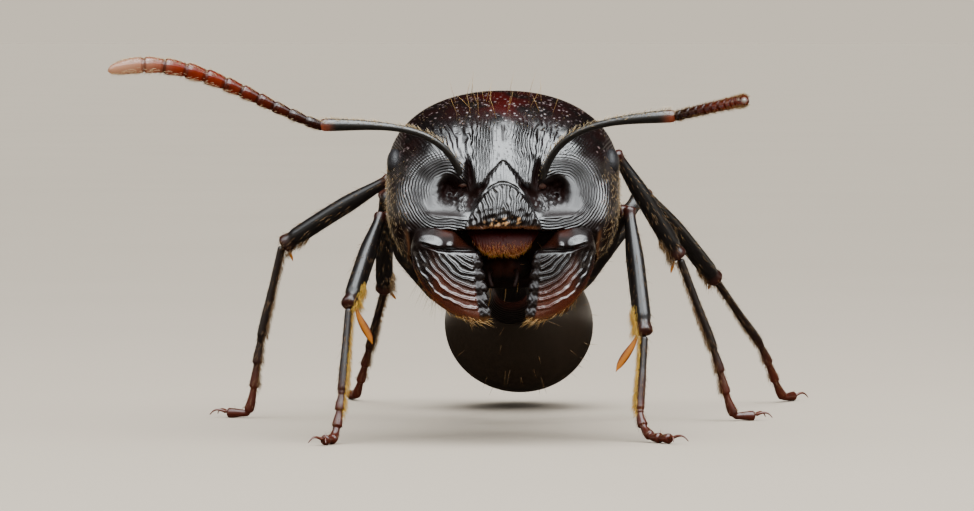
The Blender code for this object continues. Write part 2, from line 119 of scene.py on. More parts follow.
def unit(vectors: Array) -> Array:
    """Scale vectors, one to a row, to length 1."""
    return vectors / np.maximum(np.linalg.norm(vectors, axis=-1, keepdims=True), 1e-12)


def smooth_table(stations: Sequence[Sequence[float]], at: Array) -> Array:
    """Read every column of a table of stations along a smooth curve.

    Args:
        stations: Rows that start with their place, in rising order.
        at: The places to read.

    Returns:
        One row of columns for each place read.
    """
    table = np.array(stations, float)
    places = table[:, 0]
    slopes = np.gradient(table, places, axis=0)
    low = np.clip(np.searchsorted(places, at) - 1, 0, len(places) - 2)
    span = (places[low + 1] - places[low])[:, None]
    t = ((np.clip(at, places[0], places[-1]) - places[low])[:, None]) / span
    start, end = 2 * t**3 - 3 * t**2 + 1, 3 * t**2 - 2 * t**3
    rise, settle = (t**3 - 2 * t**2 + t) * span, (t**3 - t**2) * span
    return start * table[low] + end * table[low + 1] + rise * slopes[low] + settle * slopes[low + 1]


def ripple(x: Array, z: Array, size: float, seed: int) -> Array:
    """A smooth irregular swell over a plane, from about -1 to 1.

    Args:
        x: First place of each point.
        z: Second place of each point.
        size: Mean length of its waves.
        seed: Seed of its waves.

    Returns:
        The height at each point.
    """
    dice = np.random.default_rng(seed)
    total = np.zeros_like(x)
    for _ in range(7):
        turn, phase = dice.uniform(0.0, TURN, 2)
        wave = TURN / (size * dice.uniform(0.7, 1.6))
        total += np.sin((x * math.cos(turn) + z * math.sin(turn)) * wave + phase)
    return total / 3.0


def ridge_profile(phase: Array) -> Array:
    """Height of a row of ridges, from 0 in the grooves to 1, one ridge to each whole phase."""
    return 0.5 + 0.5 * np.sin(TURN * phase)


def bezier(path: Sequence[Point], t: Array) -> Array:
    """Points of the cubic curve with four control points.

    Args:
        path: The four control points.
        t: The places along it, from 0 to 1.

    Returns:
        One point to a row.
    """
    a, b, c, d = (np.array(point, float) for point in path)
    t = t[:, None]
    u = 1.0 - t
    return a * u**3 + b * 3 * u * u * t + c * 3 * u * t * t + d * t**3


def globe(share: Array) -> tuple[Array, Array]:
    """Height and radius of the unit ball at shares of the way from pole to pole."""
    height = -np.cos(share * math.pi)
    return height, np.sqrt(np.maximum(0.0, 1.0 - height * height))


def far(points: Array, place: Array | Point) -> Array:
    """How far points lie from a place."""
    return np.linalg.norm(points - np.array(place), axis=1)


# ------------ where things are

@dataclass(frozen=True)
class HeadForm:
    """The head capsule: its place, pitch, half-sizes and how square its outlines are."""

    centre: Point = (0.0, 0.0, 4.59)
    pitch: float = math.radians(35.0)
    half_length: float = 1.875
    half_width: float = 2.0
    top: float = 1.15
    bottom: float = 1.55
    plan_rear: float = 2.2
    plan_front: float = 4.6
    section_top: float = 2.1
    section_bottom: float = 2.3
    profile_bottom: float = 3.8

    def rear_reach(self) -> float:
        """How far the head reaches back from its middle."""
        return math.hypot(self.half_length * math.cos(self.pitch), self.top * math.sin(self.pitch))

    def depth(self, points: Array) -> Array:
        """How far points of the ant's frame lie above the head's long axis."""
        return (points[:, 2] - self.centre[2]) * math.cos(self.pitch) - points[:, 1] * math.sin(self.pitch)

    def place(self, lateral: Array, forward: Array, dorsal: Array) -> Array:
        """Turn head coordinates into points in the ant's frame.

        Args:
            lateral: Distances to the ant's left.
            forward: Distances along the head towards the mouth.
            dorsal: Distances towards the top of the head.

        Returns:
            One point to a row.
        """
        cosine, sine = math.cos(self.pitch), math.sin(self.pitch)
        y = self.centre[1] - forward * cosine - dorsal * sine
        z = self.centre[2] - forward * sine + dorsal * cosine
        return np.stack([self.centre[0] + lateral, y, z], axis=-1)

    def capsule(self, t: Array, angle: Array) -> Array:
        """Points of the plain capsule.

        Args:
            t: Places along it, from -1 at the back to 1 at the mouth.
            angle: Angles round it, 0 at the left side and a quarter turn at the top.

        Returns:
            One point to a row.
        """
        plan = superellipse(t, np.where(t < 0.0, self.plan_rear, self.plan_front))
        upper = np.sin(angle) >= 0.0
        power = np.where(upper, self.section_top, self.section_bottom)
        below = self.bottom * superellipse(t, self.profile_bottom)
        rise = np.where(upper, self.top * superellipse(t, 2.0), below)
        lateral = self.half_width * plan * signed_power(np.cos(angle), 2.0 / power)
        dorsal = rise * signed_power(np.sin(angle), 2.0 / power)
        return self.place(lateral, self.half_length * t, dorsal)


class AntSpace:
    """The ant's own frame in millimetres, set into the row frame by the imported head."""

    def __init__(self, head: HeadForm) -> None:
        """Find where the ant's frame lies: the form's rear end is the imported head's rear end."""
        low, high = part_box("head")
        self.origin = np.array([(low.x + high.x) / 2.0, high.y - head.rear_reach() * MM, 0.0])

    def to_row(self, points: Array) -> Array:
        """Turn points in millimetres in the ant's frame into metres in the row frame."""
        return self.origin + np.asarray(points, float) * MM

    def from_row(self, points: Array) -> Array:
        """Turn points in metres in the row frame into millimetres in the ant's frame."""
        return (np.asarray(points, float) - self.origin) / MM


# ------------ finishes

class NodeSketch:
    """Adds shader nodes to one material and links them."""

    def __init__(self, name: str) -> None:
        """Start a material with a Principled shader.

        Args:
            name: The material's name.
        """
        self.material = bpy.data.materials.new(name)
        self.material.use_nodes = True
        self.tree = self.material.node_tree
        self.shader = self.tree.nodes["Principled BSDF"]
        self.place = self.tree.nodes.new("ShaderNodeTexCoord").outputs["Object"]

    def set(self, **values: float | Sequence[float] | Socket) -> None:
        """Fill the shader's own sockets.

        Args:
            values: A constant or a link for each socket, by its name with _ for spaces.
        """
        for name, value in values.items():
            socket = self.shader.inputs[name.replace("_", " ")]
            if isinstance(value, Socket):
                self.link(value, socket)
            else:
                socket.default_value = value

    def link(self, source: Socket, target: Socket) -> None:
        """Join two sockets."""
        self.tree.links.new(source, target)

    def attribute(self, name: str) -> Socket:
        """Read a number stored on the mesh.

        Args:
            name: The attribute's name.

        Returns:
            The number.
        """
        node = self.tree.nodes.new("ShaderNodeAttribute")
        node.attribute_name = name
        return node.outputs["Fac"]

    def noise(self, size: float, detail: float = 2.0) -> Socket:
        """A noise whose blotches have a size in millimetres.

        Args:
            size: The blotches' size in millimetres.
            detail: How many finer layers it has.

        Returns:
            The noise's value, from 0 to 1.
        """
        node = self.tree.nodes.new("ShaderNodeTexNoise")
        node.inputs["Scale"].default_value = 1.0 / (size * MM)
        node.inputs["Detail"].default_value = detail
        self.link(self.place, node.inputs["Vector"])
        return node.outputs["Fac"]

    def cells(self, size: float) -> Socket:
        """The distance to the nearest of many scattered points, in cells.

        Args:
            size: The mean distance between points, in millimetres.

        Returns:
            The distance, 0 at each point.
        """
        node = self.tree.nodes.new("ShaderNodeTexVoronoi")
        node.inputs["Scale"].default_value = 1.0 / (size * MM)
        self.link(self.place, node.inputs["Vector"])
        return node.outputs["Distance"]

    def maths(self, operation: str, *inputs: Socket | float) -> Socket:
        """Combine numbers with one Math node.

        Args:
            operation: Blender's name of the operation.
            inputs: Sockets or plain numbers.

        Returns:
            The result.
        """
        node = self.tree.nodes.new("ShaderNodeMath")
        node.operation = operation
        for slot, value in zip(node.inputs, inputs):
            if isinstance(value, (int, float)):
                slot.default_value = value
            else:
                self.link(value, slot)
        return node.outputs["Value"]

    def spread(self, value: Socket, low: float, high: float) -> Socket:
        """Stretch a value so that low becomes 0 and high becomes 1, smoothly.

        Args:
            value: The value.
            low: Its size that becomes 0.
            high: Its size that becomes 1.

        Returns:
            The stretched value.
        """
        node = self.tree.nodes.new("ShaderNodeMapRange")
        node.interpolation_type = "SMOOTHSTEP"
        node.inputs["From Min"].default_value = low
        node.inputs["From Max"].default_value = high
        self.link(value, node.inputs["Value"])
        return node.outputs["Result"]

    def blend(self, share: Socket, first: Colour | Socket,
              second: Colour | Socket) -> Socket:
        """Mix two colours.

        Args:
            share: How much of the second colour shows, from 0 to 1.
            first: A colour or a socket.
            second: A colour or a socket.

        Returns:
            The mixed colour.
        """
        node = self.tree.nodes.new("ShaderNodeMix")
        node.data_type = "RGBA"
        self.link(share, node.inputs[0])
        for slot, value in ((node.inputs[6], first), (node.inputs[7], second)):
            if isinstance(value, tuple):
                slot.default_value = (*value, 1.0)
            else:
                self.link(value, slot)
        return node.outputs[2]

    def tinted(self, first: Colour, second: Colour) -> Socket:
        """Mix a second colour in, in blotches, where the mesh's tint is high."""
        blotches = self.spread(self.noise(0.3, 2.0), 0.1, 0.5)
        return self.blend(self.maths("MULTIPLY", self.attribute("tint"), blotches), first, second)

    def bump(self, height: Socket, depth: float, strength: float = 1.0) -> None:
        """Press a height into the surface.

        Args:
            height: The height, from 0 to 1.
            depth: Its real depth in millimetres.
            strength: How much of it shows.
        """
        node = self.tree.nodes.new("ShaderNodeBump")
        node.inputs["Strength"].default_value = strength
        node.inputs["Distance"].default_value = depth * MM
        self.link(height, node.inputs["Height"])
        before = self.shader.inputs["Normal"]
        if before.is_linked:
            self.link(before.links[0].from_socket, node.inputs["Normal"])
        self.link(node.outputs["Normal"], before)


def ridges(sketch: NodeSketch, field_name: str, sharpness: float) -> Socket:
    """Height of the fine ridges of one field: its phase and mask are stored on the mesh.

    Args:
        sketch: The material being made.
        field_name: The field's name; the mesh holds NAME_phase and NAME_mask.
        sharpness: Power of the profile: under 1 gives broad ridges and thin grooves.

    Returns:
        The masked height.
    """
    turned = sketch.maths("MULTIPLY", sketch.attribute(field_name + "_phase"), TURN)
    wave = sketch.maths("SINE", turned)
    height = sketch.maths("POWER", sketch.maths("MULTIPLY_ADD", wave, 0.5, 0.5), sharpness)
    return sketch.maths("MULTIPLY", height, sketch.attribute(field_name + "_mask"))


@dataclass(frozen=True)
class HeadFinish:
    """Near-black glossy cuticle with fine ridges, deep red on the crown, with painted glint dots there and
    painted shade where the mesh's shade is high.
    """

    black: Colour = (0.0042, 0.0027, 0.0025)
    crown: Colour = (0.040, 0.0010, 0.0005)
    # Colour of the painted shade where the mesh's shade is high.
    deep: Colour = (0.009, 0.0026, 0.0018)
    rim: Colour = (0.110, 0.038, 0.010)
    crumb: Colour = (0.620, 0.340, 0.150)
    # Colour of the painted glints on the crown's punctures.
    glint_colour: Colour = (0.190, 0.135, 0.132)
    # Tint of the reflection under the painted shade.
    shelter: Colour = (0.06, 0.05, 0.05)
    ridge_depth: float = 0.016
    roughness: tuple[float, float] = (0.19, 0.55)
    fields: tuple[str, ...] = ("frons", "cheek", "clypeus")

    def material(self) -> Material:
        """Make the material.

        Returns:
            The material.
        """
        sketch = NodeSketch("head_cuticle")
        patches = sketch.spread(sketch.noise(0.40, 3.0), 0.34, 0.62)
        mottled = sketch.maths("MULTIPLY", sketch.attribute("crown"), patches)
        colour = sketch.blend(mottled, self.black, self.crown)
        # Pale dots on the crown's punctures: painted glints.
        punctures = sketch.spread(sketch.cells(0.095), 0.34, 0.10)
        glint_dots = sketch.maths("MULTIPLY", punctures, sketch.attribute("pits"))
        glint_dots = sketch.maths("MULTIPLY", glint_dots, sketch.spread(sketch.noise(0.16, 1.0), 0.40, 0.52))
        colour = sketch.blend(glint_dots, colour, self.glint_colour)
        # Painted shade: darker colour and a dimmer, rougher reflection where the mesh's shade is high.
        colour = sketch.blend(sketch.attribute("shade"), colour, self.deep)
        colour = sketch.blend(sketch.attribute("rim"), colour, self.rim)
        colour = sketch.blend(sketch.attribute("crumbs"), colour, self.crumb)
        tint = sketch.blend(sketch.attribute("shade"), WHITE, self.shelter)
        smooth, rough = self.roughness
        dull = sketch.maths("MULTIPLY_ADD", sketch.attribute("shade"), rough - smooth, smooth)
        sketch.set(Base_Color=colour, Specular_Tint=tint, Roughness=dull, Specular_IOR_Level=1.0, IOR=1.70)
        height = None
        for name in self.fields:
            layer = ridges(sketch, name, 0.8)
            height = layer if height is None else sketch.maths("ADD", height, layer)
        sketch.bump(height, self.ridge_depth)
        sketch.bump(sketch.maths("ADD", glint_dots, sketch.maths("MULTIPLY", punctures, -0.3)), 0.008, 0.8)
        sketch.bump(sketch.noise(0.025, 3.0), 0.0016, 0.6)
        return sketch.material


@dataclass(frozen=True)
class CuticleFinish:
    """Plain glossy cuticle with a second colour where the mesh says so, and fine grain.

    A sheltered one has painted shade: its sheen dims where the mesh's stored shade is high, as in hollows.
    """

    name: str
    colour: Colour
    second: Colour
    roughness: float = 0.28
    coat: float = 0.5
    grain: float = 0.03
    grain_depth: float = 0.0015
    specular: float = 0.6
    scatter: float = 0.0
    ior: float = 1.56
    sheltered: bool = False
    pale: Colour | None = None
    # Tint of the reflection under the painted shade.
    shelter: Colour = (0.015, 0.01, 0.01)

    def material(self) -> Material:
        """Make the material.

        Returns:
            The material.
        """
        sketch = NodeSketch(self.name)
        colour = sketch.tinted(self.colour, self.second)
        if self.pale:
            colour = sketch.blend(sketch.attribute("pale"), colour, self.pale)
        sketch.set(Base_Color=colour, Roughness=self.roughness, Coat_Weight=self.coat, Coat_Roughness=0.12,
                   Coat_IOR=1.6, IOR=self.ior, Specular_IOR_Level=self.specular)
        if self.scatter:
            sketch.set(Subsurface_Weight=self.scatter, Subsurface_Scale=0.0001,
                       Subsurface_Radius=(1.0, 0.35, 0.15))
        if self.sheltered:
            sketch.set(Specular_Tint=sketch.blend(sketch.attribute("shade"), WHITE, self.shelter))
        sketch.bump(sketch.noise(self.grain, 3.0), self.grain_depth)
        return sketch.material


@dataclass(frozen=True)
class RidgedFinish:
    """Glossy cuticle with one field of fine ridges, as on the trunk."""

    name: str
    colour: Colour
    second: Colour
    ridge_depth: float = 0.010
    roughness: float = 0.34

    def material(self) -> Material:
        """Make the material.

        Returns:
            The material.
        """
        sketch = NodeSketch(self.name)
        sketch.set(Base_Color=sketch.tinted(self.colour, self.second), Roughness=self.roughness, IOR=1.50,
                   Specular_IOR_Level=0.35)
        sketch.bump(ridges(sketch, "body", 0.8), self.ridge_depth)
        sketch.bump(sketch.noise(0.03, 2.0), 0.001)
        return sketch.material


@dataclass(frozen=True)
class HairFinish:
    """Thin translucent bristle."""

    name: str
    colour: Colour
    roughness: float = 0.35

    def material(self) -> Material:
        """Make the material.

        Returns:
            The material.
        """
        sketch = NodeSketch(self.name)
        pale = tuple(min(1.0, channel * 1.35) for channel in self.colour)
        patches = sketch.blend(sketch.noise(0.4, 1.0), self.colour, pale)
        sketch.set(Base_Color=patches, Roughness=self.roughness, Specular_IOR_Level=0.5,
                   Subsurface_Weight=0.3, Subsurface_Scale=0.00003, Subsurface_Radius=(1.0, 0.7, 0.4))
        return sketch.material


@dataclass(frozen=True)
class EyeFinish:
    """Black compound eye with a fine net of facets."""

    facet: float = 0.022
    dark: Colour = (0.008, 0.007, 0.008)
    light: Colour = (0.022, 0.020, 0.022)

    def material(self) -> Material:
        """Make the material.

        Returns:
            The material.
        """
        sketch = NodeSketch("eye_lens")
        colour = sketch.blend(sketch.noise(0.05, 1.0), self.dark, self.light)
        sketch.set(Base_Color=colour, Roughness=0.36, Specular_IOR_Level=0.4)
        sketch.bump(sketch.spread(sketch.cells(self.facet), 0.15, 0.65), 0.004)
        return sketch.material


# ------------ making meshes

class Workshop:
    """Makes the ant's meshes and hands them to the frame."""

    def __init__(self, space: AntSpace) -> None:
        """Keep the ant's frame."""
        self.space = space

    def ball(self, name: str, segments: int, rings: int, shape: Shape) -> Piece:
        """Add a sphere and shape it point by point into a closed piece.

        Args:
            name: The piece's name.
            segments: Faces round it.
            rings: Rings from pole to pole.
            shape: Turns (share from pole to pole, angle round) into points in millimetres.

        Returns:
            The piece, shaded smooth, at the row frame's origin.
        """
        bpy.ops.object.select_all(action="DESELECT")
        bpy.ops.mesh.primitive_uv_sphere_add(segments=segments, ring_count=rings, radius=1.0, calc_uvs=True)
        piece = bpy.context.object
        piece.name = name
        mesh = piece.data
        mesh.name = name
        places = self.places(mesh)
        share = np.arccos(np.clip(-places[:, 2], -1.0, 1.0)) / math.pi
        angle = np.mod(np.arctan2(places[:, 1], places[:, 0]), TURN)
        shaped = shape(share, angle)
        mesh.vertices.foreach_set("co", self.space.to_row(shaped).astype(np.float32).ravel())
        mesh.update()
        self.face_outward(piece)
        bpy.ops.object.shade_smooth()
        return piece

    def face_outward(self, piece: Piece) -> None:
        """Turn a closed piece's faces outward.

        Args:
            piece: The piece, which is the active object.
        """
        if self.volume(piece) < 0.0:
            bpy.ops.object.mode_set(mode="EDIT")
            bpy.ops.mesh.select_all(action="SELECT")
            bpy.ops.mesh.flip_normals()
            bpy.ops.object.mode_set(mode="OBJECT")

    @staticmethod
    def volume(piece: Piece) -> float:
        """Measure the signed volume inside a piece's faces, in cubic metres."""
        a, b, c = Workshop.places(piece.data)[Workshop.triangles(piece.data, "vertices")].transpose(1, 0, 2)
        return float(np.einsum("ij,ij->i", a, np.cross(b, c)).sum() / 6.0)

    @staticmethod
    def triangles(mesh: Mesh, what: str) -> Array:
        """Read a mesh's triangles.

        Args:
            mesh: The mesh.
            what: "vertices" or "loops".

        Returns:
            The numbers of the three vertices or loops of each triangle.
        """
        mesh.calc_loop_triangles()
        corners = np.empty(len(mesh.loop_triangles) * 3, np.int32)
        mesh.loop_triangles.foreach_get(what, corners)
        return corners.reshape(-1, 3)

    def points(self, piece: Piece) -> Array:
        """A piece's vertices in millimetres in the ant's frame."""
        return self.space.from_row(self.places(piece.data))

    @staticmethod
    def places(mesh: Mesh) -> Array:
        """Read where a mesh's vertices are.

        Args:
            mesh: The mesh.

        Returns:
            One place to a row, in metres.
        """
        places = np.empty(len(mesh.vertices) * 3, np.float32)
        mesh.vertices.foreach_get("co", places)
        return places.reshape(-1, 3).astype(float)

    @staticmethod
    def store(piece: Piece, name: str, values: Array | float) -> None:
        """Store one number at each vertex for the material to read.

        Args:
            piece: The piece.
            name: The attribute's name.
            values: One number for each vertex, or one for all.
        """
        count = len(piece.data.vertices)
        attribute = piece.data.attributes.new(name, "FLOAT", "POINT")
        attribute.data.foreach_set("value", np.broadcast_to(values, count).astype(np.float32).copy())

    @staticmethod
    def hand_over(piece: Piece, material: Material, slot: str, *nodes: str) -> None:
        """Dress a finished piece, tie it to the body and let it stand for its solids.

        Args:
            piece: The piece.
            material: Its finish.
            slot: Not used.
            nodes: The solids that it stands for.
        """
        piece.data.materials.clear()
        piece.data.materials.append(material)
        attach(piece, "root")
        if nodes:
            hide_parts(*nodes)
        LOG.info("%s: %d faces", piece.name, len(piece.data.polygons))


class Limb:
    """A round closed limb along a path, with a radius that changes along it."""

    def __init__(self, path: Array, flatness: float = 1.0) -> None:
        """Measure the path and lay a frame along it.

        Args:
            path: Points along the limb's middle, in millimetres.
            flatness: Height of the section over its width.
        """
        self.path = path
        self.flatness = flatness
        steps = np.linalg.norm(np.diff(path, axis=0), axis=1)
        self.reach = np.concatenate([[0.0], np.cumsum(steps)])
        self.length = float(self.reach[-1])
        self.along = unit(np.gradient(path, self.reach, axis=0))
        side = np.cross(self.along[0], (0.0, 0.0, 1.0))
        if np.linalg.norm(side) < 0.1:
            side = np.cross(self.along[0], (1.0, 0.0, 0.0))
        sides = []
        for direction in self.along:
            side = side - direction * float(side @ direction)
            side = side / np.linalg.norm(side)
            sides.append(side)
        self.side = np.array(sides)
        self.other = np.cross(self.along, self.side)

    def read(self, table: Array, distance: Array) -> Array:
        """Read a table of places or directions at distances along the limb."""
        return np.stack([np.interp(distance, self.reach, table[:, axis]) for axis in range(3)], axis=-1)

    def offset(self, points: Array) -> Array:
        """How far points lie from the nearest place on the middle line, by axis."""
        line = self.path[::2]
        return points - line[np.argmin(np.linalg.norm(points[:, None] - line[None], axis=2), axis=1)]

    def shape(self, radius: Callable[[Array], Array]) -> Shape:
        """The limb's shape for Workshop.ball, from its radius at each distance along it."""
        return partial(self.place, radius)

    def place(self, radius: Callable[[Array], Array], share: Array, angle: Array) -> Array:
        """Points of the limb's skin.

        Args:
            radius: Radius at each distance along it.
            share: Shares of the way along.
            angle: Angles round.

        Returns:
            One point to a row.
        """
        distance = share * self.length
        side = unit(self.read(self.side, distance)) * np.cos(angle)[:, None]
        other = unit(self.read(self.other, distance)) * np.sin(angle)[:, None]
        across = side + other * self.flatness
        return self.read(self.path, distance) + across * radius(distance)[:, None]


def dome_ends(distance: Array, length: float, first: float, last: float) -> Array:
    """Round off both ends of a limb.

    Args:
        distance: Distances along the limb.
        length: The limb's length.
        first: How far the first rounding reaches.
        last: How far the last rounding reaches.

    Returns:
        Shares of the full radius.
    """
    start = np.clip(distance / first, 0.0, 1.0)
    end = np.clip((length - distance) / last, 0.0, 1.0)
    return np.sqrt(start * (2.0 - start)) * np.sqrt(end * (2.0 - end))


# ------------ bristles

@dataclass
class Roots:
    """Places where hairs grow: points, outward directions and places on the unwrap."""

    points: Array
    normals: Array
    unwrap: Array

    @staticmethod
    def on(shop: Workshop, piece: Piece, count: int, seed: int,
           density: Callable[[Array], Array] | None = None) -> Roots:
        """Scatter roots over a piece.

        Args:
            shop: The workshop that made the piece.
            piece: The piece.
            count: How many roots.
            seed: Seed of the scatter.
            density: Share of the full density at each point, in millimetres.

        Returns:
            The roots.
        """
        mesh = piece.data
        unwrap = np.empty(len(mesh.loops) * 2, np.float32)
        mesh.uv_layers[0].data.foreach_get("uv", unwrap)
        places = shop.points(piece)[shop.triangles(mesh, "vertices")]
        flat = unwrap.reshape(-1, 2)[shop.triangles(mesh, "loops")]
        across = np.cross(places[:, 1] - places[:, 0], places[:, 2] - places[:, 0])
        weight = np.linalg.norm(across, axis=1)
        if density is not None:
            weight = weight * np.clip(density(places.mean(axis=1)), 0.0, 1.0)
        dice = np.random.default_rng(seed)
        chosen = dice.choice(len(weight), size=count, p=weight / weight.sum())
        share = dice.dirichlet((1.0, 1.0, 1.0), size=count)[:, :, None]
        return Roots((places[chosen] * share).sum(axis=1), unit(across[chosen]),
                     (flat[chosen] * share).sum(axis=1))


HAIR_FACES = ((0, 1, 4, 3), (1, 2, 5, 4), (2, 0, 3, 5), (3, 4, 6), (4, 5, 6), (5, 3, 6), (2, 1, 0))
HAIR_POINTS = 7
PATCH_RADIUS = 0.0015


@dataclass
class Coat:
    """A joined mesh of thin curved bristles."""

    name: str
    finish: HairFinish
    radius: float = 0.005
    seed: int = 1
    _verts: list[Array] = field(default_factory=list)
    _unwrap: list[Array] = field(default_factory=list)

    def grow(self, roots: Roots, lay: Array | Point, lift: float, length: tuple[float, float],
             curl: float = 0.25, scatter: float = 0.15) -> None:
        """Add a bristle at each root.

        Args:
            roots: Where they grow.
            lay: The direction in which they lie, one for all or one for each.
            lift: How far they stand out, from 0, flat, to 1, upright.
            length: Shortest and longest length, in millimetres.
            curl: How far the tip bends back towards the lay.
            scatter: How unevenly they point.
        """
        count = len(roots.points)
        dice = np.random.default_rng(self.seed + len(self._verts))
        lay = np.broadcast_to(np.asarray(lay, float), (count, 3))
        flat = lay - roots.normals * np.einsum("ij,ij->i", lay, roots.normals)[:, None]
        flat = unit(flat + dice.normal(0.0, scatter, (count, 3)))
        rise = np.clip(lift + dice.normal(0.0, 0.08, count), 0.03, 1.0)[:, None]
        along = unit(roots.normals * rise + flat * (1.0 - rise))
        size = dice.uniform(length[0], length[1], count)[:, None]
        side = unit(np.cross(along, roots.normals + 0.31))
        other = np.cross(along, side)
        rings = []
        for share, width, bend in ((-0.04, 1.0, 0.0), (0.45, 0.8, 0.25)):
            middle = roots.points + along * size * share + flat * size * curl * bend
            for turn in range(3):
                spin = TURN * turn / 3.0
                rings.append(middle + (side * math.cos(spin) + other * math.sin(spin)) * self.radius * width)
        rings.append(roots.points + along * size * (1.0 - 0.4 * curl) + flat * size * curl)
        self._verts.append(np.stack(rings, axis=1))
        self._unwrap.append(roots.unwrap)

    def finish_piece(self, shop: Workshop, slot: str) -> None:
        """Join all the bristles into one piece and hand it over.

        Args:
            shop: The workshop.
            slot: Passed on to Workshop.hand_over.
        """
        verts = np.concatenate(self._verts)
        unwrap = np.concatenate(self._unwrap)
        faces = [tuple(HAIR_POINTS * hair + corner for corner in face)
                 for hair in range(len(verts)) for face in HAIR_FACES]
        mesh = bpy.data.meshes.new(self.name)
        mesh.from_pydata(shop.space.to_row(verts.reshape(-1, 3)).tolist(), [], faces)
        mesh.update()
        spins = 2.1 * np.arange(HAIR_POINTS)
        patch = np.stack([np.cos(spins), np.sin(spins)], axis=1) * PATCH_RADIUS
        corners = np.empty(len(mesh.loops), np.int32)
        mesh.loops.foreach_get("vertex_index", corners)
        layer = mesh.uv_layers.new(name="OFBake")
        patches = unwrap[corners // HAIR_POINTS] + patch[corners % HAIR_POINTS]
        layer.data.foreach_set("uv", patches.astype(np.float32).ravel())
        piece = bpy.data.objects.new(self.name, mesh)
        bpy.context.scene.collection.objects.link(piece)
        bpy.context.view_layer.objects.active = piece
        piece.select_set(True)
        shop.face_outward(piece)
        bpy.ops.object.shade_smooth()
        shop.hand_over(piece, self.finish.material(), slot)


GOLD = HairFinish("golden_bristle", (0.42, 0.22, 0.07))
TAN = HairFinish("tan_down", (0.27, 0.17, 0.085))
PALE = HairFinish("pale_down", (0.50, 0.34, 0.18))
AMBER = HairFinish("amber_fringe", (0.18, 0.042, 0.004))
BROWN = HairFinish("brown_bristle", (0.16, 0.080, 0.030))
# Beard hair: its own brown, darkened as a painted shade under the head.
UMBER = HairFinish("umber_beard", (0.085, 0.040, 0.013))
BRUSH = HairFinish("golden_brush", (0.70, 0.38, 0.045))


@dataclass
class Assembly:
    """Some of the ant's pieces that belong together, and the workshop that makes them."""

    shop: Workshop


# ------------ head

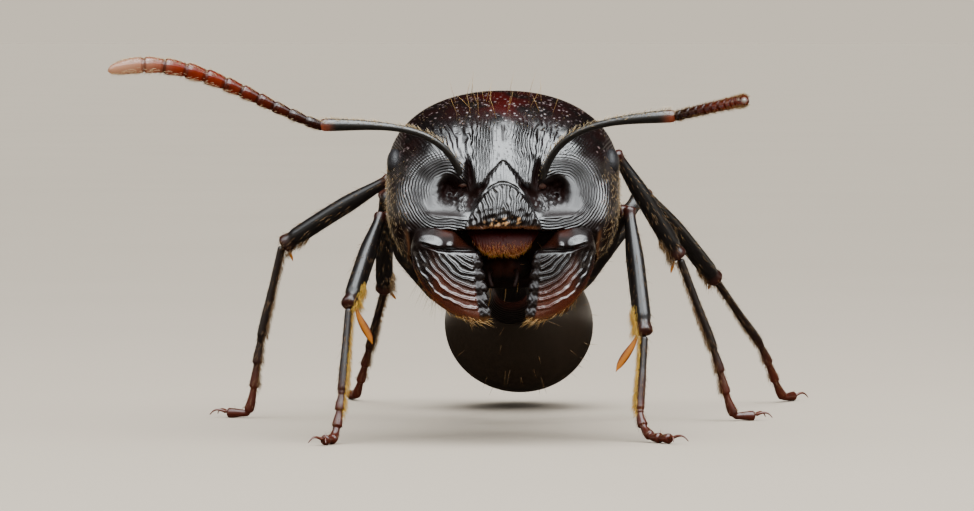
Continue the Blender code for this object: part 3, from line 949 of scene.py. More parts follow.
@dataclass
class HeadCapsule(Assembly):
    """The head with its antennal fossae, frontal triangle, clypeus and fine ridges."""

    form: HeadForm
    segments: int = 440
    rings: int = 208
    dorsal_share: float = 0.70
    front_share: float = 0.72
    fossa: tuple[float, float] = (0.96, 4.33)
    arch_top: float = 4.468
    arch_curve: float = 1.75
    ridge_height: float = 0.007
    ridge_spacing: tuple[float, float, float] = (0.061, 0.047, 0.088)
    margin: tuple[tuple[float, float], ...] = (
        (0.0, 3.715), (0.3, 3.712), (0.55, 3.69), (0.7, 3.665), (1.0, 3.675), (1.2, 3.69), (1.37, 3.63),
        (1.52, 3.47), (1.59, 3.30), (1.64, 2.90))
    seam_line: tuple[tuple[float, float], ...] = (
        (3.60, 0.82), (3.80, 0.74), (3.90, 0.62), (4.00, 0.54), (4.15, 0.45), (4.26, 0.38), (4.45, 0.29),
        (4.62, 0.20), (4.84, 0.01))

    def spread_points(self, share: Array, angle: Array) -> tuple[Array, Array]:
        """Crowd the mesh onto the face.

        Args:
            share: Share of the way from the back to the mouth.
            angle: Angle round the head.

        Returns:
            The place along the head from -1 to 1, and the angle, both respaced.
        """
        turn = angle / TURN
        upper = math.pi * turn / self.dorsal_share
        lower = math.pi + math.pi * (turn - self.dorsal_share) / (1.0 - self.dorsal_share)
        angle = np.where(turn < self.dorsal_share, upper, lower)
        seam = math.acos(0.25) / math.pi
        rear = share / (1.0 - self.front_share) * seam
        front = seam + (share - (1.0 - self.front_share)) / self.front_share * (1.0 - seam)
        share = np.where(share < 1.0 - self.front_share, rear, front)
        return -np.cos(share * math.pi), angle

    def seam(self, z: Array) -> Array:
        """Half-width, at a height, of the frontal triangle and of the clypeus below it."""
        return np.interp(z, *zip(*self.seam_line))

    def arch(self, u: Array) -> Array:
        """Height of the clypeus's upper edge."""
        return self.arch_top - self.arch_curve * u * u

    def clypeus(self, u: Array, z: Array) -> Array:
        """Share, from 0 to 1, to which a place lies on the clypeus."""
        return ramp(0.03, -0.03, u - self.seam(z)) * ramp(0.0, -0.04, z - self.arch(u))

    def relief(self, x: Array, z: Array) -> Array:
        """How far the face stands out towards the front.

        Args:
            x: Distances from the middle line.
            z: Heights.

        Returns:
            Millimetres towards -Y.
        """
        u = np.abs(x)
        out = -0.10 * np.exp(-(((u - 1.02) / 0.52) ** 2 + ((z - 4.34) / 0.40) ** 2) ** 2)
        out -= 0.26 * self.pit(u, z)
        out -= 0.12 * np.exp(-(((u - 0.62) / 0.10) ** 2 + ((z - 4.34) / 0.20) ** 2))
        out -= 0.16 * self.slot(u, z)
        out += 0.08 * hump(u, 0.445 + 0.12 * (z - 4.30), 0.055) * band(z, 4.40, 4.80, 0.20)
        seam = self.seam(z)
        out -= 0.02 * ramp(0.02, -0.05, u - seam) * band(z, 4.50, 4.80, 0.06)
        out -= 0.08 * self.crease(u, z)
        out -= 0.10 * self.trough(u, z)
        out -= 0.040 * hump(z, self.arch(u), 0.017) * ramp(0.33, 0.25, u)
        dome = np.sqrt(np.clip(1.0 - 0.85 * (u / seam) ** 2, 0.0, 1.0))
        out += self.clypeus(u, z) * dome * (0.05 + 0.17 * ramp(4.48, 3.80, z))
        out += 0.10 * ramp(4.04, 3.74, z) * band(u, 0.66, 1.26, 0.26) * (1.0 - self.clypeus(u, z))
        out += 0.05 * hump(z, 3.90 + 0.08 * (u - 0.95), 0.045) * band(u, 0.72, 1.22, 0.20)
        out += 0.06 * hump(u, 1.62, 0.05) * band(z, 3.30, 3.62, 0.12)
        out -= 0.030 * hump(u, 0.0, 0.022) * band(z, 5.22, 5.42, 0.08)
        out += 0.07 * hump(u, 1.25, 0.30) * hump(z, 5.50, 0.38)
        return out + 0.030 * self.rays(u, z)

    @staticmethod
    def pit(u: Array, z: Array) -> Array:
        """Share of the depth of the fossa beside each socket.

        Args:
            u: Distances from the middle line, on either side.
            z: Heights.

        Returns:
            Shares from 0 to about 1.
        """
        lower = ramp(4.36, 4.20, z)
        radius = ((u - 0.87) / (0.21 + 0.03 * lower)) ** 2 + ((z - 4.34) / (0.18 + 0.05 * lower)) ** 2
        return np.exp(-((radius * (1.0 + 0.16 * ripple(u, z, 0.28, 10))) ** 1.5))

    @staticmethod
    def rays(u: Array, z: Array) -> Array:
        """Share of the height of the short wrinkles that fan out below each socket.

        Args:
            u: Distances from the middle line, on either side.
            z: Heights.

        Returns:
            Shares from 0 to 1.
        """
        across, up = u - 0.60, z - 4.36
        radius = np.hypot(across, up)
        waves = ramp(0.25, 0.75, np.sin(14.0 * np.arctan2(up, across) + 2.6 * ripple(u, z, 0.11, 18)))
        return waves * band(radius, 0.13, 0.36, 0.08) * ramp(4.36, 4.26, z) * ramp(-0.02, 0.06, across)

    @staticmethod
    def slot(u: Array, z: Array) -> Array:
        """Share of the depth of the narrow slot outside each frontal carina."""
        width = 0.026 + 0.035 * ramp(4.95, 4.60, z)
        return hump(u, 0.565 + 0.17 * (z - 4.62), width) * band(z, 4.58, 4.72, 0.26)

    def crease(self, u: Array, z: Array) -> Array:
        """Share of the depth of the crease along each side of the frontal triangle."""
        width = 0.018 + 0.022 * ramp(4.75, 4.45, z)
        return hump(u, self.seam(z) + 0.3 * width, width) * band(z, 4.40, 4.78, 0.10)

    def trough(self, u: Array, z: Array) -> Array:
        """Share of the depth of the hollow between each side of the clypeus and the fossa."""
        aside = u - self.seam(z)
        return ramp(-0.02, 0.05, aside) * ramp(0.24, 0.10, aside) * band(z, 4.08, 4.34, 0.14)

    def gape(self, x: Array, z: Array) -> Array:
        """How far inside the mouth opening a place is, from 0 outside to 1."""
        line = np.interp(np.abs(x), *zip(*self.margin))
        return ramp(0.0, -0.06, z - line - 0.008 * ripple(x, x, 0.20, 5))

    def fields(self, points: Array) -> dict[str, tuple[Array, Array]]:
        """The fields of fine ridges: how many ridges in a place lies, and how strong they are.

        Args:
            points: Points on the head.

        Returns:
            Phase and mask of each field.
        """
        x, y, z = points.T
        u = np.abs(x)
        front = ramp(1.2, 0.4, y) * (1.0 - self.gape(x, z))
        drift = 0.42 * ripple(x, z, 0.60, 1) + 0.13 * ripple(x, z, 0.16, 2)
        patchy = 0.86 + 0.14 * ripple(x, z, 0.22, 3)
        clypeus = self.clypeus(u, z)
        lean = 1.0 + 0.80 * (z - 4.80) * ramp(0.30, 1.1, u)
        frons = (0.30 + 0.70 * ramp(0.12, 0.26, u)) * ramp(5.62, 5.30, z) * front
        radius = np.hypot(u - 1.02, z - 4.30)
        frons *= np.maximum(ramp(0.62, 0.56, u) * ramp(0.0, 0.06, u - self.seam(z)), ramp(0.50, 0.64, radius))
        frons *= ramp(4.42, 4.55, z) * (0.55 + 0.45 * ramp(0.75, 0.60, u))
        across, up = u - self.fossa[0], z - self.fossa[1]
        across = np.where(up < 0.0, across * ramp(-0.25, 0.05, across), across)
        radius = np.hypot(across, up)
        inner = 0.24 + 0.16 * ramp(0.0, -0.25, up)
        cheek = ramp(inner, inner + 0.14, radius) * ramp(0.70, 0.50, up) * ramp(1.05, 0.80, radius) * front
        cheek *= 1.0 - 0.62 * ramp(0.60, 0.70, radius)
        cheek *= (1.0 - clypeus) * (1.0 - frons) * ramp(0.52, 0.64, u + ramp(4.3, 4.1, z))
        frons_step, cheek_step, clypeus_step = self.ridge_spacing
        rays = (u - 0.30 * (z - 4.20) * ramp(0.0, 0.30, u)) / clypeus_step
        shield = clypeus * ramp(3.70, 3.74, z) * front
        return {"frons": (u / np.clip(lean, 0.6, 2.2) / frons_step + drift, frons * patchy),
                "cheek": (radius / cheek_step + 0.8 * drift, cheek * (0.35 + 0.65 * patchy)),
                "clypeus": (rays + 0.9 * drift, shield)}

    def shape(self, share: Array, angle: Array) -> Array:
        """Points of the finished head.

        Args:
            share: Shares from pole to pole.
            angle: Angles round.

        Returns:
            One point to a row.
        """
        t, angle = self.spread_points(share, angle)
        capsule = self.form.capsule
        points = capsule(t, angle)
        step = 1e-3
        ahead = capsule(np.clip(t + step, -1, 1), angle) - capsule(np.clip(t - step, -1, 1), angle)
        round_it = capsule(t, angle + step) - capsule(t, angle - step)
        normal = unit(np.cross(ahead, round_it))
        outward = np.sign(np.einsum("ij,ij->i", normal, points - np.array(self.form.centre)))
        facing = ramp(0.12, 0.45, -normal[:, 1] * outward)
        x, z = points[:, 0], points[:, 2]
        gape = self.gape(x, z)
        fields = self.fields(points)
        fine = sum(mask * ridge_profile(phase) for phase, mask in fields.values()) * self.ridge_height
        fine += 0.012 * fields["clypeus"][1] * ridge_profile(fields["clypeus"][0])
        fine += 0.016 * self.clypeus(np.abs(x), z) * ripple(x, z, 0.13, 6) * ramp(4.15, 3.90, z)
        fine += 0.006 * ripple(x, z, 0.30, 7) + 0.022 * ripple(x, z, 0.10, 8) * self.pit(np.abs(x), z)
        sunk = 0.34 * gape * ramp(2.75, 3.05, z)
        points[:, 1] -= facing * ((self.relief(x, z) + fine) * (1.0 - gape) - sunk)
        return points

    def paint(self, piece: Piece) -> None:
        """Store the ridge fields, the tints, the mask of the painted glint dots and the painted shade on the
        mesh.

        Args:
            piece: The head.
        """
        points = self.shop.points(piece)
        x, y, z = points.T
        u = np.abs(x)
        for name, (phase, mask) in self.fields(points).items():
            self.shop.store(piece, name + "_phase", phase)
            self.shop.store(piece, name + "_mask", mask)
        corners = 0.55 * ramp(1.15, 1.7, u) * ramp(4.6, 5.0, z)
        crown = np.maximum(ramp(5.30, 5.70, z) * ramp(1.75, 1.0, u), corners)
        self.shop.store(piece, "crown", crown * (0.22 + 0.78 * hump(u, 0.0, 0.42) * ramp(5.35, 5.75, z)))
        # Where the crown's punctures carry painted glint dots.
        self.shop.store(piece, "pits", np.clip(ramp(5.30, 5.62, z) + ramp(1.42, 1.70, u) * 0.8, 0.0, 1.0))
        # Painted shade, stored as shade: darker colour and dimmer reflection in the creases, slots, fossae,
        # sockets and troughs, in the dip below each fossa, along the median groove, in small spots on the
        # frons, inside the mouth opening, beside the jaws, over the cheeks, the lower clypeus and the far
        # sides; lifted low in each fossa where its wrinkles catch the light.
        deep = 0.85 * self.crease(u, z) + self.trough(u, z) + self.slot(u, z) * 1.2 + self.pit(u, z) * 1.2
        deep += 0.8 * np.exp(-(((u - 0.60) / 0.12) ** 2 + ((z - 4.34) / 0.20) ** 2))
        deep *= 1.0 - 0.75 * ramp(0.25, 0.55, ripple(x, z, 0.09, 15)) * ramp(4.30, 4.16, z)
        deep *= 1.0 - self.rays(u, z)
        deep += 0.42 * np.exp(-(((u - 0.98) / 0.42) ** 2 + ((z - 3.955) / 0.055) ** 2) ** 1.5)
        deep += 0.30 * band(u, 0.75, 1.60, 0.12) * band(z, 3.80, 4.85, 0.15)
        deep += 0.45 * hump(u, 0.0, 0.035) * band(z, 5.20, 5.44, 0.08)
        deep += self.clypeus(u, z) * (0.15 + 0.20 * ramp(4.15, 3.85, z))
        beside_jaws = 0.80 * ramp(3.95, 3.65, z) * ramp(1.28, 1.50, u)
        deep += self.gape(x, z) + beside_jaws + 0.45 * ramp(1.66, 1.84, u)
        spots = ramp(0.80, 1.05, ripple(x, z, 0.055, 17)) * band(z, 4.90, 5.45, 0.10) * ramp(0.75, 0.35, u)
        self.shop.store(piece, "shade", np.clip(np.maximum(deep, 0.7 * spots), 0.0, 1.0) * ramp(1.0, 0.0, y))
        rim = hump(z, 3.715, 0.028) * ramp(0.66, 0.52, u) * ramp(-1.2, -1.5, y)
        line = np.interp(z, (3.05, 3.35, 3.60, 3.75), (1.62, 1.60, 1.64, 1.70))
        rim = np.maximum(rim, hump(u, line, 0.030) * ramp(3.72, 3.55, z) * ramp(-0.2, -0.8, y) * 0.9)
        self.shop.store(piece, "rim", rim)
        crumbs = ramp(0.10, 0.50, ripple(x, z, 0.075, 9)) * ramp(-0.5, 0.2, ripple(x, z, 0.25, 16))
        crumbs *= band(z, 3.765, 3.87, 0.04) * ramp(0.36, 0.26, u)
        self.shop.store(piece, "crumbs", crumbs * ramp(-1.2, -1.5, y))

    def build(self) -> None:
        """Make the head and its hairs."""
        piece = self.shop.ball("head_skin", self.segments, self.rings, self.shape)
        self.paint(piece)
        self.shop.hand_over(piece, HeadFinish().material(), "cuticle", "head")
        self.grow_hair(piece)
        self.grow_beard(piece)

    def grow_hair(self, piece: Piece) -> None:
        """Grow the down on the sides and crown, and the long bristles on the crown and throat.

        Args:
            piece: The head.
        """
        down = Coat("head_down", TAN, 0.0027, 11)

        def sides(points: Array) -> Array:
            """Thick on the sides, thin at the lower corners."""
            u, z = np.abs(points[:, 0]), points[:, 2]
            return ramp(1.62, 1.92, u) * ramp(5.1, 4.2, z) + 0.30 * ramp(3.6, 3.3, z) * ramp(1.3, 1.6, u)

        down.grow(Roots.on(self.shop, piece, 1700, 3, sides), (0.0, -0.75, -0.65), 0.24, (0.06, 0.12))

        def crown(points: Array) -> Array:
            """Thick on the crown, thin beside it."""
            return ramp(5.1, 5.5, points[:, 2]) + 0.3 * ramp(1.3, 1.7, np.abs(points[:, 0]))

        down.grow(Roots.on(self.shop, piece, 380, 4, crown), (0.0, -0.8, -0.3), 0.25, (0.04, 0.08))
        down.finish_piece(self.shop, "cuticle")

        long_ones = Coat("head_bristles", GOLD, 0.0038, 12)

        def top(points: Array) -> Array:
            """Only on the front of the crown."""
            middle = ramp(1.1, 0.8, np.abs(points[:, 0]))
            return ramp(5.35, 5.7, points[:, 2]) * middle * ramp(0.9, 0.0, points[:, 1])

        roots = Roots.on(self.shop, piece, 22, 8, top)
        long_ones.grow(roots, (0.0, -0.3, 0.6), 0.72, (0.36, 0.56), 0.06, scatter=0.25)

        def throat(points: Array) -> Array:
            """Only below, behind the jaws."""
            middle = ramp(1.4, 1.0, np.abs(points[:, 0]))
            return ramp(3.75, 3.45, points[:, 2]) * middle * ramp(-1.3, -0.9, points[:, 1])

        long_ones.grow(Roots.on(self.shop, piece, 46, 9, throat), (0.0, -1.0, -0.5), 0.6, (0.4, 0.8), 0.3)
        long_ones.finish_piece(self.shop, "cuticle")

    def grow_beard(self, piece: Piece) -> None:
        """Grow the beard under the head in which a harvester ant carries sand.

        Args:
            piece: The head.
        """
        # Dark umber: the beard's brown darkened as painted shade under the head.
        beard = Coat("head_beard", UMBER, 0.0040, 13)

        def chin(points: Array) -> Array:
            """Under the head, in a strip along each side."""
            under = ramp(-0.9, -1.25, self.form.depth(points)) * ramp(-0.75, -0.35, points[:, 1])
            return under * ramp(3.45, 3.05, points[:, 2]) * band(np.abs(points[:, 0]), 0.75, 1.10, 0.30)

        beard.grow(Roots.on(self.shop, piece, 420, 14, chin), (0.0, -0.6, -0.5), 0.70, (0.40, 0.75), 0.35)
        beard.finish_piece(self.shop, "cuticle")


@dataclass
class Mandible(Assembly):
    """One massive ridged mandible with blunt teeth."""

    side: Side
    spread: float
    centre: tuple[float, float] = (0.93, 2.95)
    outer: tuple[tuple[float, float], ...] = (
        (1.50, 3.70), (1.58, 3.36), (1.53, 3.02), (1.39, 2.72), (1.16, 2.44), (0.88, 2.25), (0.56, 2.14),
        (0.33, 2.12))
    tip: tuple[float, float] = (0.19, 2.20)
    teeth_top: tuple[float, float] = (0.35, 3.22)
    base: tuple[tuple[float, float], ...] = ((0.42, 3.31), (0.62, 3.44), (0.82, 3.70), (1.20, 3.80))
    teeth: int = 5
    tooth_depth: float = 0.045
    lump_spacing: float = 0.225
    root: tuple[float, float] = (-1.62, 3.50)
    lean: float = 0.17
    bulge: float = 0.30
    back: float = 0.24
    hinge: float = 1.56
    fan: tuple[float, float] = (0.39, 3.738)
    ridge_radii: tuple[float, ...] = (0.40, 0.46, 0.53, 0.61, 0.70, 0.79, 0.88, 0.97, 1.07, 1.18, 1.30, 1.42)
    ridge_height: float = 0.034
    segments: int = 300
    rings: int = 150

    def outline(self, turn: Array) -> Array:
        """Read the closed outline.

        Args:
            turn: Shares of the way round, starting at the outer base.

        Returns:
            Points (x, z), one to a row.
        """
        corners = np.array(self.outer + (self.tip, self.teeth_top) + self.base + (self.outer[0],))
        steps = np.linalg.norm(np.diff(corners, axis=0), axis=1)
        reach = np.concatenate([[0.0], np.cumsum(steps)])
        place = turn * reach[-1]
        smooth = np.zeros((len(turn), 2))
        for shift in (-0.06, -0.03, 0.0, 0.03, 0.06):
            at = np.mod(place + shift, reach[-1])
            smooth += np.stack([np.interp(at, reach, corners[:, axis]) for axis in (0, 1)], axis=-1) / 5.0
        start, end = reach[len(self.outer)], reach[len(self.outer) + 1]
        share = (place - start) / (end - start)
        bite = np.abs(np.sin(np.clip(share, 0.0, 1.0) * math.pi * self.teeth))
        smooth[:, 0] += self.tooth_depth * (1.0 - bite) * band(share, 0.04, 0.97, 0.03)
        return smooth

    def ridge_place(self, x: Array, z: Array) -> tuple[Array, Array]:
        """Where a point lies in the arcs of ridges that sweep from the outer base to the teeth.

        Args:
            x: Distances from the middle line, unspread.
            z: Heights.

        Returns:
            How many ridges in from the upper inner corner it lies, and how far it lies below
            the basal groove.
        """
        radius = np.hypot(x - self.fan[0], (z - self.fan[1]) / 1.149)
        groove = np.interp(x, (0.35, 0.45, 0.90, 1.10, 1.30, 1.50), (3.26, 3.29, 3.30, 3.315, 3.38, 3.44))
        return np.interp(radius, self.ridge_radii, np.arange(len(self.ridge_radii))), groove - z

    def unspread(self, points: Array) -> tuple[Array, Array]:
        """Distances of points from the middle line with the mandible closed, and ridges passed."""
        x = (np.abs(points[:, 0]) - self.hinge * self.spread) / (1.0 - self.spread)
        return x, self.ridge_place(x, points[:, 2])[0]

    def toothed_edge(self, x: Array, z: Array) -> Array:
        """Share, from 0 to 1, to which a point lies on the toothed band along the inner edge."""
        edge = np.interp(z, [self.tip[1], self.teeth_top[1]], [self.tip[0], self.teeth_top[0]])
        return ramp(0.25, 0.19, x - edge + 0.05 * ramp(2.5, 3.1, z)) * ramp(3.28, 3.16, z)

    def shape(self, share: Array, angle: Array) -> Array:
        """Points of the finished mandible.

        Args:
            share: Shares from pole to pole.
            angle: Angles round.

        Returns:
            One point to a row.
        """
        t, reach = globe(share)
        centre = np.array(self.centre)
        flat = centre + (self.outline(angle / TURN) - centre) * reach[:, None]
        x, z = flat.T
        count, below = self.ridge_place(x, z)
        inner = ramp(1.05, 0.35, x) * ramp(3.50, 3.25, z)
        power = 2.8 + 6.0 * np.maximum(ramp(0.95, 0.60, x) * ramp(3.50, 3.25, z), 0.6 * ramp(3.30, 3.50, z))
        dome = np.sqrt(np.maximum(0.0, 1.0 - reach**power))
        edge = self.toothed_edge(x, z)
        wobble = 0.13 * ripple(x, z, 0.35, 12) + 0.06 * ripple(x, z, 0.12, 13)
        crest = ridge_profile(count + wobble) ** (1.5 + 1.7 * ramp(2.0, 7.0, count))
        limit = 9.75 + 0.75 * ramp(2.70, 3.05, z)
        ridged = ramp(limit, limit - 0.55, count + wobble) * ramp(0.02, 0.09, below) * (1.0 - edge)
        ridged = ridged * ramp(1.57, 1.44, x) * (0.45 + 0.55 * ramp(0.5, 3.0, count))
        ridged = ridged * ramp(0.0, 0.06, 1.0 - reach**power)
        relief = self.ridge_height * (crest - 0.2) * ridged
        relief -= 0.07 * hump(below, -0.035, 0.030) * ramp(1.46, 1.30, x)
        relief += 0.110 * hump(z, 3.415 + 0.10 * (x - 1.2), 0.14) * hump(x, 1.22, 0.23)
        relief += 0.05 * hump(z, 3.42, 0.05) * hump(x, 0.90, 0.06)
        relief -= 0.10 * ramp(0.86, 0.70, x) * ramp(3.34, 3.44, z)
        lump = (0.5 + 0.5 * np.cos((z - 2.24) * TURN / self.lump_spacing)) ** 0.7
        relief += edge * (0.026 * lump - 0.030 + 0.005 * ripple(x, z, 0.08, 14))
        y = self.root[0] - self.lean * (self.root[1] - z) + 0.17 * np.maximum(0.0, z - 2.90) ** 2
        y = y + 0.16 * ramp(0.6, 1.6, x) * ramp(3.6, 2.6, z)
        front = y - self.bulge * dome * (1.0 - 0.70 * inner) - relief * ramp(0.0, 0.25, dome)
        y = np.where(t > 0.0, front, y + self.back * dome)
        x = x + (self.hinge - x) * self.spread
        return np.stack([x * self.side.value, y, z], axis=-1)

    def build(self) -> None:
        """Make the mandible and its bristles."""
        piece = self.shop.ball(f"mandible_{self.side.word}_skin", self.segments, self.rings, self.shape)
        z = self.shop.points(piece)[:, 2]
        unspread, count = self.unspread(self.shop.points(piece))
        red = ramp(5.0, 8.0, count) * ramp(1.32, 1.05, unspread) + 0.8 * ramp(9.2, 10.4, count)
        red = red * (1.0 - self.toothed_edge(unspread, z))
        red = np.maximum(red, 0.30 * ramp(0.92, 0.75, unspread) * ramp(3.34, 3.44, z))
        red = np.maximum(red, 0.4 * hump(unspread, 0.97, 0.14) * ramp(3.52, 3.60, z))
        self.shop.store(piece, "tint", red)
        self.shop.store(piece, "pale", 0.8 * ramp(10.0, 10.8, count) * ramp(3.30, 3.10, z))
        # Painted shade, stored as shade: the reflection dims over the top of the mandible, where the head
        # shades it, except on two bare spots; it dims on the toothed band too.
        spot = ((unspread - 1.23) / 0.19) ** 2 + ((z - 3.49 - 0.12 * (unspread - 1.2)) / 0.095) ** 2
        small = ((unspread - 0.90) / 0.055) ** 2 + ((z - 3.435) / 0.045) ** 2
        shade = ramp(3.30, 3.37, z) * (1.0 - np.maximum(ramp(1.25, 0.80, spot), ramp(1.3, 0.7, small)))
        self.shop.store(piece, "shade", np.maximum(shade, 0.72 * self.toothed_edge(unspread, z)))
        finish = CuticleFinish("mandible_cuticle", (0.008, 0.005, 0.0045), (0.070, 0.0115, 0.0026), 0.24, 0.0,
                               0.022, 0.0022, 1.0, ior=1.66, sheltered=True, pale=(0.110, 0.042, 0.009))
        self.shop.hand_over(piece, finish.material(), "mandible", f"mandible_{self.side.word}")
        coat = Coat(f"mandible_{self.side.word}_bristles", GOLD, 0.0034, 21)

        def margin(points: Array) -> Array:
            """Only along the outer edge."""
            return ramp(10.2, 10.9, self.unspread(points)[1])

        sign = self.side.value
        coat.grow(Roots.on(self.shop, piece, 48, 22, margin), (-0.7 * sign, -0.4, -0.6), 0.35, (0.06, 0.13))

        def low(points: Array) -> Array:
            """Only along the outer edge near the tip."""
            return margin(points) * ramp(0.95, 0.55, np.abs(points[:, 0]))

        coat.grow(Roots.on(self.shop, piece, 16, 23, low), (-0.8 * sign, -0.3, -0.8), 0.45, (0.14, 0.24))
        coat.finish_piece(self.shop, "mandible")


@dataclass
class Labrum(Assembly):
    """The red-brown flap between the mandibles, fringed with golden bristles."""

    top: tuple[float, float] = (0.70, 3.74)
    bottom: tuple[float, float] = (0.38, 3.29)
    y: float = -1.50
    lean: float = 0.34
    half_thickness: float = 0.12
    pleat_width: float = 0.06

    def shape(self, share: Array, angle: Array) -> Array:
        """Points of the flap.

        Args:
            share: Shares from pole to pole.
            angle: Angles round.

        Returns:
            One point to a row.
        """
        t, ring = globe(share)
        drop = (1.0 - signed_power(np.sin(angle), 0.55) * ring) / 2.0
        width = self.top[0] + (self.bottom[0] - self.top[0]) * drop
        x = width * signed_power(np.cos(angle), 0.55) * ring
        z = self.top[1] + (self.bottom[1] - self.top[1]) * drop
        rounded = 0.05 * ramp(0.5, 1.0, drop) * (1.0 - (x / width) ** 2)
        notch = 0.04 * hump(x, 0.0, 0.10) * ramp(0.6, 1.0, drop) - rounded
        pleat = 0.010 * np.sin(x / self.pleat_width * TURN * (1.0 + 0.3 * drop)) * ramp(0.15, 0.4, drop)
        y = self.y - self.lean * drop - self.half_thickness * t + 0.10 * (x / width) ** 2 - pleat * (t > 0)
        return np.stack([x, y, z + notch], axis=-1)

    def build(self) -> None:
        """Make the flap and its fringe."""
        piece = self.shop.ball("labrum_skin", 128, 64, self.shape)
        points = self.shop.points(piece)
        self.shop.store(piece, "tint", ramp(3.56, 3.22, points[:, 2]))
        finish = CuticleFinish("labrum_cuticle", (0.022, 0.0010, 0.0004), (0.058, 0.0085, 0.001), 0.5, 0.0,
                               0.05, 0.004, 0.1, 0.1)
        self.shop.hand_over(piece, finish.material(), "labrum", "labrum")
        coat = Coat("labrum_fringe", AMBER, 0.0028, 31)

        def face(points: Array) -> Array:
            """Only on the front, denser towards the lower edge."""
            return ramp(-1.5, -1.62, points[:, 1]) * ramp(3.54, 3.28, points[:, 2])

        coat.grow(Roots.on(self.shop, piece, 700, 32, face), (0.0, -0.25, -1.0), 0.12, (0.06, 0.12))
        coat.finish_piece(self.shop, "labrum")


@dataclass
class Mouthparts(Assembly):
    """The folded maxillae and lower lip behind the labrum, a dark lobed mass with two palps."""

    centre: Point = (0.0, -1.02, 3.02)
    radii: Point = (0.46, 0.46, 0.26)
    palp: tuple[Point, ...] = (
        (0.20, -1.38, 2.98), (0.26, -1.62, 2.96), (0.24, -1.72, 2.84), (0.18, -1.76, 2.70))

    def shape(self, share: Array, angle: Array) -> Array:
        """Points of the lobed mass.

        Args:
            share: Shares from pole to pole.
            angle: Angles round.

        Returns:
            One point to a row.
        """
        t, ring = globe(share)
        x = self.radii[0] * t
        lobes = 1.0 - 0.10 * hump(x, 0.0, 0.05) - 0.07 * hump(np.abs(x), 0.22, 0.03)
        y = self.centre[1] + self.radii[1] * ring * np.cos(angle) * lobes
        z = self.centre[2] + self.radii[2] * ring * np.sin(angle) * lobes
        return np.stack([x, y, z], axis=-1)

    def build(self) -> None:
        """Make the mass, the palps and their finish."""
        piece = self.shop.ball("mouthparts_skin", 64, 80, self.shape)
        self.shop.store(piece, "tint", ramp(-1.30, -1.46, self.shop.points(piece)[:, 1]))
        finish = CuticleFinish("mouthparts_cuticle", (0.007, 0.004, 0.0035), (0.022, 0.005, 0.002), 0.6, 0.0,
                               specular=0.06)
        material = finish.material()
        self.shop.hand_over(piece, material, "cuticle")
        for side in Side:
            path = [(width * side.value, y, z) for width, y, z in self.palp]
            limb = Limb(bezier(path, np.linspace(0, 1, 24)))
            palp = self.shop.ball(f"palp_{side.word}", 14, 40, limb.shape(
                lambda distance: 0.030 * (1.0 - 0.25 * ramp(0.75, 1.0, np.mod(distance / 0.115, 1.0)))
                * dome_ends(distance, limb.length, 0.03, 0.05)))
            self.shop.store(palp, "tint", 0.2)
            self.shop.hand_over(palp, material, "cuticle")


@dataclass
class Eye(Assembly):
    """One small oval compound eye on the side of the head."""

    side: Side
    form: HeadForm
    place: Point = (1.86, 0.17, 0.37)
    radii: Point = (0.135, 0.26, 0.21)

    def shape(self, share: Array, angle: Array) -> Array:
        """Points of the eye.

        Args:
            share: Shares from pole to pole.
            angle: Angles round.

        Returns:
            One point to a row.
        """
        t, ring = globe(share)
        return self.form.place(self.side.value * (self.place[0] + self.radii[0] * t),
                               self.place[1] + self.radii[1] * ring * np.cos(angle),
                               self.place[2] + self.radii[2] * ring * np.sin(angle))

    def build(self) -> None:
        """Make the eye."""
        piece = self.shop.ball(f"eye_{self.side.word}_lens", 64, 32, self.shape)
        self.shop.hand_over(piece, EyeFinish().material(), "eye", f"eye_{self.side.word}")


# ------------ antennae

